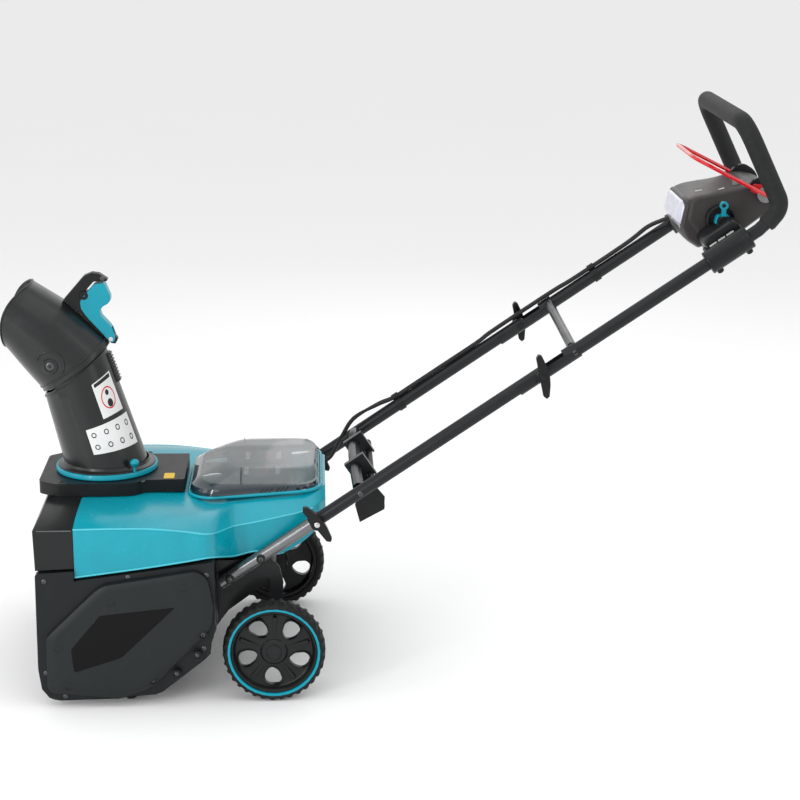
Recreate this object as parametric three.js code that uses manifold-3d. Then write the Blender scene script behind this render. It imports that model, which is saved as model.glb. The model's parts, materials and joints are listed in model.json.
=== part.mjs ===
// A battery-powered single-stage snow thrower with a folding handle.
// Millimetres. X points to the machine's left side, Y to the operator, Z up.
// The model is drawn with the wheel axle at Y = 0 and the ground at Z = 0, and the
// finished group is moved so that its bounding box is centred over the origin.
import * as THREE from 'three';
import { mergeVertices } from 'three/addons/utils/BufferGeometryUtils.js';
import Module from 'manifold-3d';

const wasm = await Module();
wasm.setup();

// ---------------------------------------------------------------- driving dimensions
const GAP = 0.3; // between pieces that touch
const RUNNING = 0.6; // between a shaft and its bore, on the radius

const TYRE_RADIUS = 95;
const TYRE_WIDTH = 42;
const TRACK = 500;
const RIM_RADIUS = 80;
const AXLE_RADIUS = 6;

const CHAMBER_HALF = 251.5; // inside half-width of the auger chamber
const PLATE = 5; // side plates
const COVER_DEPTH = 20; // side covers outside the plates
const BELT_COVER_DEPTH = 14;
const NARROW_HALF = 184; // half-width of the rear of the machine
const WALL = 3; // moulded covers

const AUGER = { y: -318, z: 122, radius: 98, shaft: 11 };
const HOUSING_CLEAR = 12; // from the auger to the curved wall
const ARCH_RADIUS = 116; // wheel arch about the axle

const CHUTE = { y: -321, z: 384, radius: 80, wall: 3.5, ring: 97 };
const RIM = { front: [-433, 526], rear: [-317, 620], half: 72.5 };
const HOOD_PIVOT = { y: -412, z: 596 };
const HOOD = {
  seam: { front: [-438, 538], rear: [-310, 628], half: 77 },
  middle: { front: [-471, 579], rear: [-387, 703], half: 76 },
  mouth: { front: [-505, 619], rear: [-448, 742], half: 74 },
  // The lip reaches into the chute all round and follows its wall.
  lip: { front: [-430, 543.5], rear: [-323.5, 618.3], half: 67.6 },
  lipStep: [2.7, -9.6],
};

const TUBE = 12.5; // outer radius of the handle tubes
const TUBE_BORE = 11;
const SLEEVE = 15.2; // outer radius of the upper tube where it takes the middle one
const RAIL_X = 200;
const SLOPE = THREE.MathUtils.degToRad(33.9);
const LOWER_FOLD = { y: 82, z: 329 };
const RAIL_FOOT = -217; // along the rail from the lower fold
const UPPER_FOLD_AT = 495; // along the rail from the lower fold
const LAP = 13.6; // half-lap at the lower fold
const SLOT_BEFORE = 52; // slotted sleeve at the upper fold
const SLOT_AFTER = 52;
const BOLT = 4; // radius of the clamp bolts

const GRIP_RADIUS = 18;

// ---------------------------------------------------------------- colours
const BLACK = { color: 0x1b1d1f, roughness: 0.5, metalness: 0 };
const DARK = { color: 0x141c1e, roughness: 0.45, metalness: 0 };
const TEAL = { color: 0x009aa8, roughness: 0.35, metalness: 0 };
const TUBE_PAINT = { color: 0x2c2e31, roughness: 0.45, metalness: 0.4 };
const STEEL = { color: 0x9a9da0, roughness: 0.35, metalness: 0.9 };
const RUBBER = { color: 0x0e0f10, roughness: 0.85, metalness: 0 };
const RED = { color: 0xc8202c, roughness: 0.3, metalness: 0.1 };
const SMOKE = { color: 0x6f7c80, roughness: 0.15, metalness: 0 };
const LENS = { color: 0xc9cad8, roughness: 0.2, metalness: 0 };

// ---------------------------------------------------------------- solids and booleans
const toSolid = (geometry) => {
  const bare = geometry.index ? geometry.toNonIndexed() : geometry.clone();
  bare.deleteAttribute('normal');
  bare.deleteAttribute('uv');
  const merged = mergeVertices(bare, 1e-3);
  const vertProperties = new Float32Array(merged.attributes.position.array);
  const triVerts = new Uint32Array(merged.index.array);
  return new wasm.Manifold(new wasm.Mesh({ numProp: 3, vertProperties, triVerts }));
};
const toGeometry = (solid) => {
  const { vertProperties, triVerts } = solid.getMesh();
  const geometry = new THREE.BufferGeometry();
  geometry.setAttribute('position', new THREE.BufferAttribute(new Float32Array(vertProperties), 3));
  geometry.setIndex(new THREE.BufferAttribute(new Uint32Array(triVerts), 1));
  return geometry;
};
const cut = (base, ...tools) =>
  toGeometry(tools.reduce((solid, tool) => solid.subtract(toSolid(tool)), toSolid(base)));
const join = (base, ...others) =>
  toGeometry(others.reduce((solid, other) => solid.add(toSolid(other)), toSolid(base)));
const common = (base, ...others) =>
  toGeometry(others.reduce((solid, other) => solid.intersect(toSolid(other)), toSolid(base)));

// ---------------------------------------------------------------- basic forms
const AXIS_X = new THREE.Vector3(1, 0, 0);
const AXIS_Y = new THREE.Vector3(0, 1, 0);
const AXIS_Z = new THREE.Vector3(0, 0, 1);

// A closed outline whose corners are rounded by the given radius.
const outline = (points, radius = 0, curve = THREE.Shape) => {
  const path = new curve();
  const count = points.length;
  const at = (i) => new THREE.Vector2(...points[(i + count) % count]);
  for (let i = 0; i < count; i += 1) {
    const corner = at(i);
    const toLast = at(i - 1).sub(corner);
    const toNext = at(i + 1).sub(corner);
    const own = points[i][2] ?? radius;
    const reach = Math.min(own, toLast.length() * 0.45, toNext.length() * 0.45);
    const start = corner.clone().add(toLast.setLength(reach));
    const end = corner.clone().add(toNext.setLength(reach));
    if (i === 0) path.moveTo(start.x, start.y);
    else path.lineTo(start.x, start.y);
    if (reach > 0.01) path.quadraticCurveTo(corner.x, corner.y, end.x, end.y);
  }
  path.closePath();
  return path;
};
const flat = (points) => new THREE.Shape(points.map(([a, b]) => new THREE.Vector2(a, b)));

const extrude = (shape, depth, bevel = 0, segments = 3) =>
  new THREE.ExtrudeGeometry(shape, {
    depth,
    curveSegments: segments,
    steps: 1,
    bevelEnabled: bevel > 0,
    bevelThickness: bevel,
    bevelSize: bevel,
    bevelOffset: -bevel,
    bevelSegments: 1,
  });
// An outline in Y and Z pushed along X, from x0 to x1.
const prismX = (shape, x0, x1, segments = 1) =>
  extrude(shape, x1 - x0, 0, segments)
    .applyMatrix4(new THREE.Matrix4().makeBasis(AXIS_Y, AXIS_Z, AXIS_X))
    .translate(x0, 0, 0);
// An outline in X and Y pushed along Z.
const prismZ = (shape, z0, z1, segments = 1) => extrude(shape, z1 - z0, 0, segments).translate(0, 0, z0);
const box = (x0, x1, y0, y1, z0, z1) =>
  new THREE.BoxGeometry(x1 - x0, y1 - y0, z1 - z0).translate((x0 + x1) / 2, (y0 + y1) / 2, (z0 + z1) / 2);

// A round bar along X about the point (y, z).
const roundX = (radius, x0, x1, y, z, sides = 20) =>
  new THREE.CylinderGeometry(radius, radius, x1 - x0, sides)
    .rotateZ(Math.PI / 2)
    .translate((x0 + x1) / 2, y, z);
const roundZ = (radius, z0, z1, x, y, sides = 32) =>
  new THREE.CylinderGeometry(radius, radius, z1 - z0, sides)
    .rotateX(Math.PI / 2)
    .translate(x, y, (z0 + z1) / 2);
// A turned body about the X axis: profile points are [radius, x], the loop closes on itself.
const turnedX = (profile, y, z, sides = 32) =>
  new THREE.LatheGeometry([...profile, profile[0]].map(([r, h]) => new THREE.Vector2(r, h)), sides)
    .rotateZ(-Math.PI / 2)
    .translate(0, y, z);
const turnedZ = (profile, x, y, sides = 32) =>
  new THREE.LatheGeometry([...profile, profile[0]].map(([r, h]) => new THREE.Vector2(r, h)), sides)
    .rotateX(Math.PI / 2)
    .translate(x, y, 0);

// A skin through rings of equal point counts. The rings close on themselves as a loop when
// looped is true; otherwise both ends are capped.
const skin = (rings, looped = false) => {
  const count = rings[0].length;
  const positions = rings.flat().flatMap((p) => [p.x, p.y, p.z]);
  const index = [];
  const spans = looped ? rings.length : rings.length - 1;
  for (let i = 0; i < spans; i += 1) {
    const a = i * count;
    const b = ((i + 1) % rings.length) * count;
    for (let j = 0; j < count; j += 1) {
      const k = (j + 1) % count;
      index.push(a + j, a + k, b + k, a + j, b + k, b + j);
    }
  }
  // Each end is closed by a fan from its middle, so its rings bulge everywhere.
  const fan = (ring, start, turned) => {
    const middle = ring.reduce((sum, p) => sum.add(p), new THREE.Vector3()).divideScalar(count);
    const hub = positions.length / 3;
    positions.push(middle.x, middle.y, middle.z);
    for (let j = 0; j < count; j += 1) {
      const k = (j + 1) % count;
      index.push(hub, start + (turned ? k : j), start + (turned ? j : k));
    }
  };
  if (!looped) {
    fan(rings[0], 0, true);
    fan(rings[rings.length - 1], (rings.length - 1) * count, false);
  }
  const geometry = new THREE.BufferGeometry();
  geometry.setAttribute('position', new THREE.Float32BufferAttribute(positions, 3));
  geometry.setIndex(index);
  return outward(geometry);
};
// Turns a closed skin inside out when its faces point in.
const outward = (geometry) => {
  const p = geometry.attributes.position;
  const index = geometry.index.array;
  const [a, b, c] = [new THREE.Vector3(), new THREE.Vector3(), new THREE.Vector3()];
  let volume = 0;
  for (let i = 0; i < index.length; i += 3) {
    a.fromBufferAttribute(p, index[i]);
    b.fromBufferAttribute(p, index[i + 1]);
    c.fromBufferAttribute(p, index[i + 2]);
    volume += a.dot(b.cross(c));
  }
  if (volume < 0) {
    for (let i = 0; i < index.length; i += 3) {
      const keep = index[i];
      index[i] = index[i + 2];
      index[i + 2] = keep;
    }
  }
  return geometry;
};

// A path of straight stretches whose corners are rounded by the given reach.
const route = (points, reach) => {
  const path = new THREE.CurvePath();
  let from = points[0].clone();
  for (let i = 1; i < points.length - 1; i += 1) {
    const corner = points[i];
    const back = points[i - 1].clone().sub(corner);
    const on = points[i + 1].clone().sub(corner);
    const r = Math.min(reach, back.length() * 0.48, on.length() * 0.48);
    const start = corner.clone().add(back.setLength(r));
    const end = corner.clone().add(on.setLength(r));
    path.add(new THREE.LineCurve3(from, start));
    path.add(new THREE.QuadraticBezierCurve3(start, corner.clone(), end));
    from = end;
  }
  path.add(new THREE.LineCurve3(from, points[points.length - 1].clone()));
  return path;
};
const disc = (radius, sides, curve = THREE.Shape, y = 0, z = 0) => {
  const ring = [];
  for (let i = 0; i < sides; i += 1) {
    const turn = (i / sides) * 2 * Math.PI;
    ring.push(new THREE.Vector2(y + radius * Math.cos(turn), z + radius * Math.sin(turn)));
  }
  return new curve(ring);
};
// A bar or a pipe swept along a path.
const swept = (path, radius, steps, sides = 10, bore = 0) => {
  const section = disc(radius, sides);
  if (bore > 0) section.holes.push(disc(bore, sides, THREE.Path));
  return new THREE.ExtrudeGeometry(section, { extrudePath: path, steps, bevelEnabled: false });
};
// A straight bar or pipe between two points.
const bar = (from, to, radius, sides = 14, bore = 0) => {
  const along = to.clone().sub(from);
  const section = disc(radius, sides);
  if (bore > 0) section.holes.push(disc(bore, sides, THREE.Path));
  const turn = new THREE.Quaternion().setFromUnitVectors(AXIS_Z, along.clone().normalize());
  return extrude(section, along.length()).applyQuaternion(turn).translate(from.x, from.y, from.z);
};
const point = (x, y, z) => new THREE.Vector3(x, y, z);

// ---------------------------------------------------------------- the assembly
const machine = new THREE.Group();
const part = (name, geometry, look) => {
  const bare = geometry.clone();
  bare.computeVertexNormals();
  const mesh = new THREE.Mesh(bare, new THREE.MeshStandardMaterial(look));
  mesh.name = name;
  machine.add(mesh);
  return mesh;
};
const mirrored = (geometry) => {
  const flipped = geometry.index ? geometry.clone() : mergeVertices(geometry.clone());
  flipped.scale(-1, 1, 1);
  return outward(flipped);
};

// A point on the handle rail, measured up the slope from the lower fold.
const onRail = (s, x = RAIL_X, off = 0) =>
  point(
    x,
    LOWER_FOLD.y + s * Math.cos(SLOPE) - off * Math.sin(SLOPE),
    LOWER_FOLD.z + s * Math.sin(SLOPE) + off * Math.cos(SLOPE),
  );

// ---------------------------------------------------------------- auger chamber
const plateInner = CHAMBER_HALF + GAP;
const plateOuter = plateInner + PLATE;
const coverOuter = plateOuter + GAP + COVER_DEPTH;
const wallInner = AUGER.radius + HOUSING_CLEAR;

const augerHousing = () => {
  const shell = new THREE.Shape();
  const inner = wallInner;
  const outer = wallInner + WALL;
  const from = THREE.MathUtils.degToRad(-62);
  const to = THREE.MathUtils.degToRad(28);
  // The curved wall runs behind the auger, then straight up to the chute and over the front.
  shell.absarc(AUGER.y, AUGER.z, inner, from, to, false);
  shell.lineTo(-232, 322);
  shell.lineTo(-240, 333);
  shell.lineTo(-409, 333);
  shell.lineTo(-424, 262);
  shell.lineTo(-424 - WALL, 262);
  shell.lineTo(-412, 333 + WALL);
  shell.lineTo(-238, 333 + WALL);
  shell.lineTo(-232 + WALL, 324);
  shell.absarc(AUGER.y, AUGER.z, outer, to, from, true);
  shell.closePath();
  const wall = prismX(shell, -CHAMBER_HALF, CHAMBER_HALF, 7);
  return cut(wall, roundZ(CHUTE.radius - 4, 320, 350, 0, CHUTE.y, 24));
};

const scraperBar = () => {
  const shape = flat([[-276, 0], [-262, 0], [-246, 12], [-246, 24], [-251, 24], [-262, 15]]);
  return prismX(shape, -CHAMBER_HALF + 4, CHAMBER_HALF - 4);
};

// The side outline shared by the plates and covers of the wide front half.
const sideOutline = (inset = 0) => {
  const arch = [];
  for (const degrees of [178, 168, 158, 154]) {
    const turn = THREE.MathUtils.degToRad(degrees);
    const r = ARCH_RADIUS + inset;
    arch.push([r * Math.cos(turn), TYRE_RADIUS + r * Math.sin(turn), 0.1]);
  }
  return [
    [-430 + inset, 258 - inset, 4],
    [-432 + inset, 73, 4],
    [-425 + inset, 22 + inset, 14],
    [-400 + inset, 11 + inset, 6],
    [-288, 13 + inset, 2],
    [-266, 17 + inset, 2],
    [-211, 21 + inset, 8],
    [-126, 88 + inset, 4],
    ...arch,
    [-106 - inset, 160, 2],
    [-106 - inset, 276 - inset, 2],
    [-131, 273 - inset, 4],
    [-222, 261 - inset, 4],
    [-360, 243 - inset, 0.1],
    [-360, 262 - inset, 0.1],
  ];
};

const sidePlate = () => {
  const shape = outline(sideOutline(3));
  shape.holes.push(disc(bearingOuter, 16, THREE.Path, AUGER.y, AUGER.z));
  shape.holes.push(disc(MOTOR.shaft + 2, 12, THREE.Path, MOTOR.y, MOTOR.z));
  return prismX(shape, plateInner, plateOuter, 1);
};

// A moulded tray over the side plate, open on its inner side.
const sideCover = (openings) => {
  const outer = prismX(outline(sideOutline()), plateOuter + GAP, coverOuter);
  const inner = prismX(outline(sideOutline(WALL)), plateOuter, coverOuter - WALL);
  return cut(outer, inner, ...openings);
};

// The raised trapezium over the drive belt.
const BELT_OUTLINE = [
  [-405, 147],
  [-414, 136],
  [-415, 40],
  [-406, 30],
  [-283, 18],
  [-228, 35],
  [-112, 154],
  [-108, 189],
  [-118, 247],
  [-138, 262],
  [-306, 237],
  [-322, 227],
];
const shrink = (points, inset) => {
  const cy = points.reduce((s, p) => s + p[0], 0) / points.length;
  const cz = points.reduce((s, p) => s + p[1], 0) / points.length;
  return points.map(([y, z]) => {
    const reach = Math.hypot(y - cy, z - cz);
    return [y - ((y - cy) * inset) / reach, z - ((z - cz) * inset) / reach];
  });
};
const beltCover = () => {
  const ring = (points, x) => points.map(([y, z]) => point(x, y, z));
  const base = coverOuter + GAP;
  const top = base + BELT_COVER_DEPTH;
  const outer = skin([
    ring(BELT_OUTLINE, base),
    ring(BELT_OUTLINE, base + 2),
    ring(shrink(BELT_OUTLINE, 17), top),
  ]);
  const inner = skin([
    ring(shrink(BELT_OUTLINE, WALL + 2), base - 1),
    ring(shrink(BELT_OUTLINE, WALL + 3), base + 1),
    ring(shrink(BELT_OUTLINE, 22), top - WALL),
  ]);
  return cut(outer, inner);
};

// ---------------------------------------------------------------- auger and drive
const MOTOR = { y: -176, z: 196, radius: 34, length: 120, shaft: 6 };
const PULLEY_WIDTH = 12;
const AUGER_PULLEY = 46;
const MOTOR_PULLEY = 20;
const BELT = { width: 10, thick: 4 };
const pulleyFrom = plateOuter + 3;
const bearingOuter = AUGER.shaft + 8;

// A helical blade around the shaft, from x0 to x1.
const flight = (x0, x1) => {
  const steps = 26;
  const turns = 1.25;
  const half = 2;
  const inner = AUGER.shaft + GAP;
  const rings = [];
  for (let i = 0; i <= steps; i += 1) {
    const x = x0 + ((x1 - x0) * i) / steps;
    const turn = (i / steps) * 2 * Math.PI * turns;
    const at = (r, side) =>
      point(x + side * half, AUGER.y + r * Math.cos(turn), AUGER.z + r * Math.sin(turn));
    rings.push([at(inner, -1), at(AUGER.radius, -1), at(AUGER.radius, 1), at(inner, 1)]);
  }
  return skin(rings);
};
const PADDLE_HALF = 42;
const augerShaft = () => {
  const shaft = roundX(AUGER.shaft, -plateOuter - 6, pulleyFrom + PULLEY_WIDTH + 2, AUGER.y, AUGER.z, 16);
  const blade = box(-PADDLE_HALF, PADDLE_HALF, -AUGER.radius, AUGER.radius, -3, 3)
    .translate(0, AUGER.y, AUGER.z);
  const hub = roundX(AUGER.shaft + 7, -PADDLE_HALF, PADDLE_HALF, AUGER.y, AUGER.z, 16);
  return join(shaft, hub, blade);
};
const bearing = () => {
  const inner = AUGER.shaft + RUNNING;
  const profile = [[inner, plateInner], [bearingOuter - GAP, plateInner], [bearingOuter - GAP, plateOuter], [inner, plateOuter]];
  return turnedX(profile, AUGER.y, AUGER.z, 16);
};
const pulley = (radius, bore, y, z) => {
  const [a, b] = [pulleyFrom, pulleyFrom + PULLEY_WIDTH];
  const seat = radius - 4;
  return turnedX([[bore, a], [radius, a], [seat, a + 2], [seat, b - 2], [radius, b], [bore, b]], y, z, 22);
};

const motorEnd = CHAMBER_HALF - WALL - GAP;
const motor = () => {
  const end = motorEnd;
  const [r, bore] = [MOTOR.radius, MOTOR.shaft + RUNNING];
  const start = end - MOTOR.length;
  const profile = [
    [bore, start + 40],
    [0, start + 40],
    [0, start],
    [r - 5, start],
    [r, start + 5],
    [r, end - 6],
    [r - 6, end],
    [bore, end],
  ];
  return new THREE.LatheGeometry(profile.slice(1).concat([profile[0], profile[1]])
    .map(([radius, h]) => new THREE.Vector2(radius, h)), 18)
    .rotateZ(-Math.PI / 2)
    .translate(0, MOTOR.y, MOTOR.z);
};
const motorRotor = () => {
  const start = motorEnd - MOTOR.length + 44;
  const shaft = roundX(MOTOR.shaft, start, pulleyFrom + PULLEY_WIDTH, MOTOR.y, MOTOR.z, 12);
  return join(shaft, pulley(MOTOR_PULLEY, MOTOR.shaft - 1, MOTOR.y, MOTOR.z));
};

// A belt around two pulleys: two arcs joined by their common tangents.
const driveBelt = () => {
  const big = new THREE.Vector2(AUGER.y, AUGER.z);
  const small = new THREE.Vector2(MOTOR.y, MOTOR.z);
  const line = small.clone().sub(big);
  const tilt = line.angle();
  const loop = (path, offset) => {
    const [ra, rb] = [AUGER_PULLEY - 4 + offset, MOTOR_PULLEY - 4 + offset];
    const spread = Math.acos((ra - rb) / line.length());
    path.absarc(big.x, big.y, ra, tilt + spread, tilt - spread + 2 * Math.PI, false);
    path.absarc(small.x, small.y, rb, tilt - spread, tilt + spread, false);
    path.closePath();
    return path;
  };
  const shape = loop(new THREE.Shape(), GAP + BELT.thick);
  shape.holes.push(loop(new THREE.Path(), GAP));
  const middle = pulleyFrom + PULLEY_WIDTH / 2;
  return prismX(shape, middle - BELT.width / 2 + 1.3, middle + BELT.width / 2 - 1.3, 8);
};

// ---------------------------------------------------------------- body
const CHASSIS_FRONT = -203;
const STEP_Y = -112; // where the body narrows
const rearChassis = () => {
  const wide = [[CHASSIS_FRONT, 34], [-128, 94], [-119, 100], [-104, 149], [STEP_Y + 4, 262], [CHASSIS_FRONT, 256]];
  const narrow = [[-121, 118], [-108, 118], [-85, 149], [-54, 172], [-32, 188], [-15, 201], [4, 236], [-6, 245], [-34, 250], [-81, 247], [-121, 247]];
  const wideInner = [[CHASSIS_FRONT - 9, 30], [-130, 98], [-123, 104], [-108, 151], [STEP_Y + 1, 300], [CHASSIS_FRONT - 9, 300]];
  const narrowInner = [[-125, 122], [-110, 122], [-87, 153], [-56, 176], [-34, 192], [-18, 204], [-4, 232], [-12, 300], [-125, 300]];
  const solid = join(
    prismX(flat(wide), -CHAMBER_HALF, CHAMBER_HALF),
    prismX(flat(narrow), -NARROW_HALF, NARROW_HALF),
  );
  const hollow = cut(
    solid,
    prismX(flat(wideInner), -CHAMBER_HALF + WALL, CHAMBER_HALF - WALL),
    prismX(flat(narrowInner), -NARROW_HALF + WALL, NARROW_HALF - WALL),
  );
  // The shelf that the batteries stand on, carried by the side walls.
  const shelf = box(-NARROW_HALF + 1, NARROW_HALF - 1, SHELF.front, SHELF.rear, BATTERY.floor - WALL, BATTERY.floor);
  const shaftWay = roundX(MOTOR.shaft + 2, CHAMBER_HALF - 20, CHAMBER_HALF + 5, MOTOR.y, MOTOR.z, 12);
  return join(cut(hollow, shaftWay), shelf, box(-1.5, 1.5, SHELF.front, SHELF.rear - 50, 190, BATTERY.floor - 1));
};
const SHELF = { front: -104, rear: -40 };

// Half cross-sections of the upper shell from the middle out and down to its lower edge.
// Each has the height of its shoulder, its crease, its lower edge and its half-width.
const SHELL_STATIONS = [
  { y: -359, shoulder: 350, crease: 340, low: 247, half: 270 },
  { y: -290, shoulder: 350, crease: 341, low: 256, half: 271 },
  { y: -222, shoulder: 350, crease: 340, low: 265, half: 271 },
  { y: -160, shoulder: 348, crease: 334, low: 274, half: 270 },
  { y: -112, shoulder: 346, crease: 326, low: 279, half: 262 },
  { y: -74, shoulder: 348, crease: 316, low: 256, half: 190 },
  { y: -34, shoulder: 352, crease: 322, low: 263, half: 185 },
  { y: 10, shoulder: 356, crease: 331, low: 258, half: 184 },
  { y: 52, shoulder: 361, crease: 338, low: 277, half: 176 },
  { y: 80, shoulder: 368, crease: 344, low: 298, half: 160 },
  { y: 98, shoulder: 366, crease: 350, low: 318, half: 132 },
];
const shellSection = (station, inset) => {
  const { y, shoulder, crease, low, half } = station;
  const inner = Math.min(112, half * 0.7);
  const ledge = half - Math.min(56, half * 0.25);
  const out = [
    [0, shoulder - inset],
    [inner, shoulder - inset],
    [ledge, shoulder - inset],
    [half - inset, crease - inset * 0.4],
    [half - inset, low],
  ];
  const right = out.map(([x, z]) => point(x, y, z));
  const left = out.slice(1).reverse().map(([x, z]) => point(-x, y, z));
  return [...right, ...left];
};
const LID = { front: -156, rear: 84, half: 138, top: 394, topHalf: 97 };
const bodyShell = () => {
  const outer = skin(SHELL_STATIONS.map((station) => shellSection(station, 0)));
  const inside = SHELL_STATIONS.map((station, i) => {
    const last = i === SHELL_STATIONS.length - 1;
    const ring = shellSection({ ...station, low: station.low - 20 }, WALL);
    return ring.map((p) => point(last ? p.x * 0.97 : p.x, last ? p.y - WALL : p.y - (i === 0 ? 4 : 0), p.z));
  });
  const bay = box(-LID.half + 16, LID.half - 16, LID.front + 10, LID.rear - 20, 320, 400);
  const chuteWay = roundZ(CHUTE.radius + 4, 330, 370, 0, CHUTE.y, 28);
  return cut(outer, skin(inside), bay, chuteWay);
};

const frontHood = () => {
  const side = [
    [-430, 262],
    [-432, 338],
    [-424, 351],
    [-360, 351],
    [-360, 265],
  ];
  const face = [
    [-271, 262],
    [-271, 339],
    [-214, 351],
    [214, 351],
    [271, 339],
    [271, 262],
  ];
  const faceInner = [
    [-268, 250],
    [-268, 336.6],
    [-213, 348],
    [213, 348],
    [268, 336.6],
    [268, 250],
  ];
  const across = (points, y0, y1) =>
    extrude(flat(points), y1 - y0)
      .applyMatrix4(new THREE.Matrix4().makeBasis(AXIS_X, AXIS_Z, AXIS_Y.clone().negate()))
      .translate(0, y1, 0);
  const block = common(prismX(flat(side), -280, 280), across(face, -440, -350));
  const hollow = common(
    prismX(flat([[-427.5, 250], [-429, 337], [-422, 348], [-350, 348], [-350, 250]]), -280, 280),
    across(faceInner, -440, -340),
  );
  return cut(block, hollow, roundZ(CHUTE.radius + 4, 330, 370, 0, CHUTE.y, 28));
};

const COVER_TOP = 376;
const topCover = () => {
  const plan = [
    [-84, -442, 8],
    [84, -442, 8],
    [108, -410, 10],
    [112, -330, 30],
    [108, -262, 10],
    [88, -244, 6],
    [86, -168, 3],
    [-86, -168, 3],
    [-88, -244, 6],
    [-108, -262, 10],
    [-112, -330, 30],
    [-108, -410, 10],
  ];
  const inner = plan.map(([x, y, r]) => [x * 0.965, y < -300 ? y + WALL : y - WALL, r]);
  const shell = cut(
    prismZ(outline(plan), 351.5, COVER_TOP, 2),
    prismZ(outline(inner), 345, COVER_TOP - WALL, 2),
  );
  return cut(shell, roundZ(CHUTE.radius + 3, 340, 400, 0, CHUTE.y, 28));
};
const COLLAR_TOP = CHUTE.z + 3;
const chuteCollar = () =>
  turnedZ(
    [
      [CHUTE.radius + 3, COVER_TOP + GAP],
      [CHUTE.ring - 3, COVER_TOP + GAP],
      [CHUTE.ring, COVER_TOP + 4],
      [CHUTE.ring, COLLAR_TOP],
      [CHUTE.ring - 3, COLLAR_TOP],
      [CHUTE.ring - 3, COLLAR_TOP - 3.5],
      [CHUTE.radius + 3, COLLAR_TOP - 3.5],
    ],
    0,
    CHUTE.y,
    28,
  );

const BATTERY = { width: 92, length: 146, height: 120, floor: 246 };
const battery = (side) => {
  const x = side * (BATTERY.width / 2 + 4);
  const y = -30;
  const floor = BATTERY.floor + GAP;
  const [w, l] = [BATTERY.width / 2, BATTERY.length / 2];
  const lower = box(x - w, x + w, y - l, y + l, floor, floor + BATTERY.height - 30);
  const upper = prismX(
    flat([
      [y - l + 4, floor + BATTERY.height - 31],
      [y + l - 4, floor + BATTERY.height - 31],
      [y + l - 14, floor + BATTERY.height],
      [y - l + 30, floor + BATTERY.height],
    ]),
    x - w + 5,
    x + w - 5,
  );
  return join(lower, upper);
};
// A clear lid with sloping sides, open below.
const batteryLid = () => {
  const ring = (half, front, rear, z, frontZ = z, rearZ = z) => [
    point(-half, front, frontZ),
    point(half, front, frontZ),
    point(half + 4, front + 50, z),
    point(half + 4, rear - 60, z + 1.3),
    point(half - 8, rear - 18, (z + rearZ) / 2 + 1.5),
    point(half - 60, rear, rearZ),
    point(-half + 60, rear, rearZ),
    point(-half + 8, rear - 18, (z + rearZ) / 2 + 1.5),
    point(-half - 4, rear - 60, z + 1.3),
    point(-half - 4, front + 50, z),
  ];
  const lift = GAP;
  const outer = [
    ring(LID.half - 6, LID.front, LID.rear, 357 + lift, 352 + lift, 369.5 + lift),
    ring(LID.half - 8, LID.front, LID.rear - 2, 368, 366, 372),
    ring(LID.topHalf, LID.front + 56, LID.rear - 18, LID.top, LID.top, LID.top - 2),
  ];
  const inner = [
    ring(LID.half - 9, LID.front + 3, LID.rear - 4, 350, 346, 362),
    ring(LID.half - 11, LID.front + 3, LID.rear - 5, 367, 365, 370),
    ring(LID.topHalf - 2, LID.front + 58, LID.rear - 20, LID.top - WALL + 0.6, LID.top - WALL + 0.6, LID.top - 4.4),
  ];
  return cut(skin(outer), skin(inner));
};

// ---------------------------------------------------------------- chute
const ringAt = ({ front, rear, half }, sides = 26) => {
  const middle = [(front[0] + rear[0]) / 2, (front[1] + rear[1]) / 2];
  const arm = [(rear[0] - front[0]) / 2, (rear[1] - front[1]) / 2];
  const ring = [];
  for (let i = 0; i < sides; i += 1) {
    const turn = (i / sides) * 2 * Math.PI;
    const c = Math.cos(turn);
    ring.push(point(half * Math.sin(turn), middle[0] + arm[0] * c, middle[1] + arm[1] * c));
  }
  return ring;
};
// The same ring drawn in by a wall thickness.
const inset = ({ front, rear, half }, wall) => {
  const length = Math.hypot(rear[0] - front[0], rear[1] - front[1]);
  const step = [((rear[0] - front[0]) * wall) / length, ((rear[1] - front[1]) * wall) / length];
  return {
    front: [front[0] + step[0], front[1] + step[1]],
    rear: [rear[0] - step[0], rear[1] - step[1]],
    half: half - wall,
  };
};
const shifted = ({ front, rear, half }, dy, dz) => ({
  front: [front[0] + dy, front[1] + dz],
  rear: [rear[0] + dy, rear[1] + dz],
  half,
});
const chuteRing = (radius, z) => ({ front: [CHUTE.y - radius, z], rear: [CHUTE.y + radius, z], half: radius });

const FLANGE = { radius: 93, low: COLLAR_TOP - 3.2, high: COLLAR_TOP };
const chuteTube = () => {
  const { radius, wall } = CHUTE;
  const neck = radius + 1;
  const tube = skin(
    [
      chuteRing(neck - 4, 352),
      chuteRing(neck, 356),
      chuteRing(neck, FLANGE.low),
      chuteRing(FLANGE.radius, FLANGE.low),
      chuteRing(FLANGE.radius, FLANGE.high),
      chuteRing(radius, FLANGE.high),
      RIM,
      inset(RIM, wall),
      chuteRing(radius - wall, FLANGE.high),
      chuteRing(neck - 4 - wall, 352),
    ].map((ring) => ringAt(ring, 24)),
    true,
  );
  const pin = (side) => {
    const [a, b] = [side * 64, side * 79.5].sort((p, q) => p - q);
    return roundX(PIN, a, b, HOOD_PIVOT.y, HOOD_PIVOT.z, 12);
  };
  return join(tube, chuteEar(1), chuteEar(-1), pin(1), pin(-1), chuteRack());
};
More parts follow.
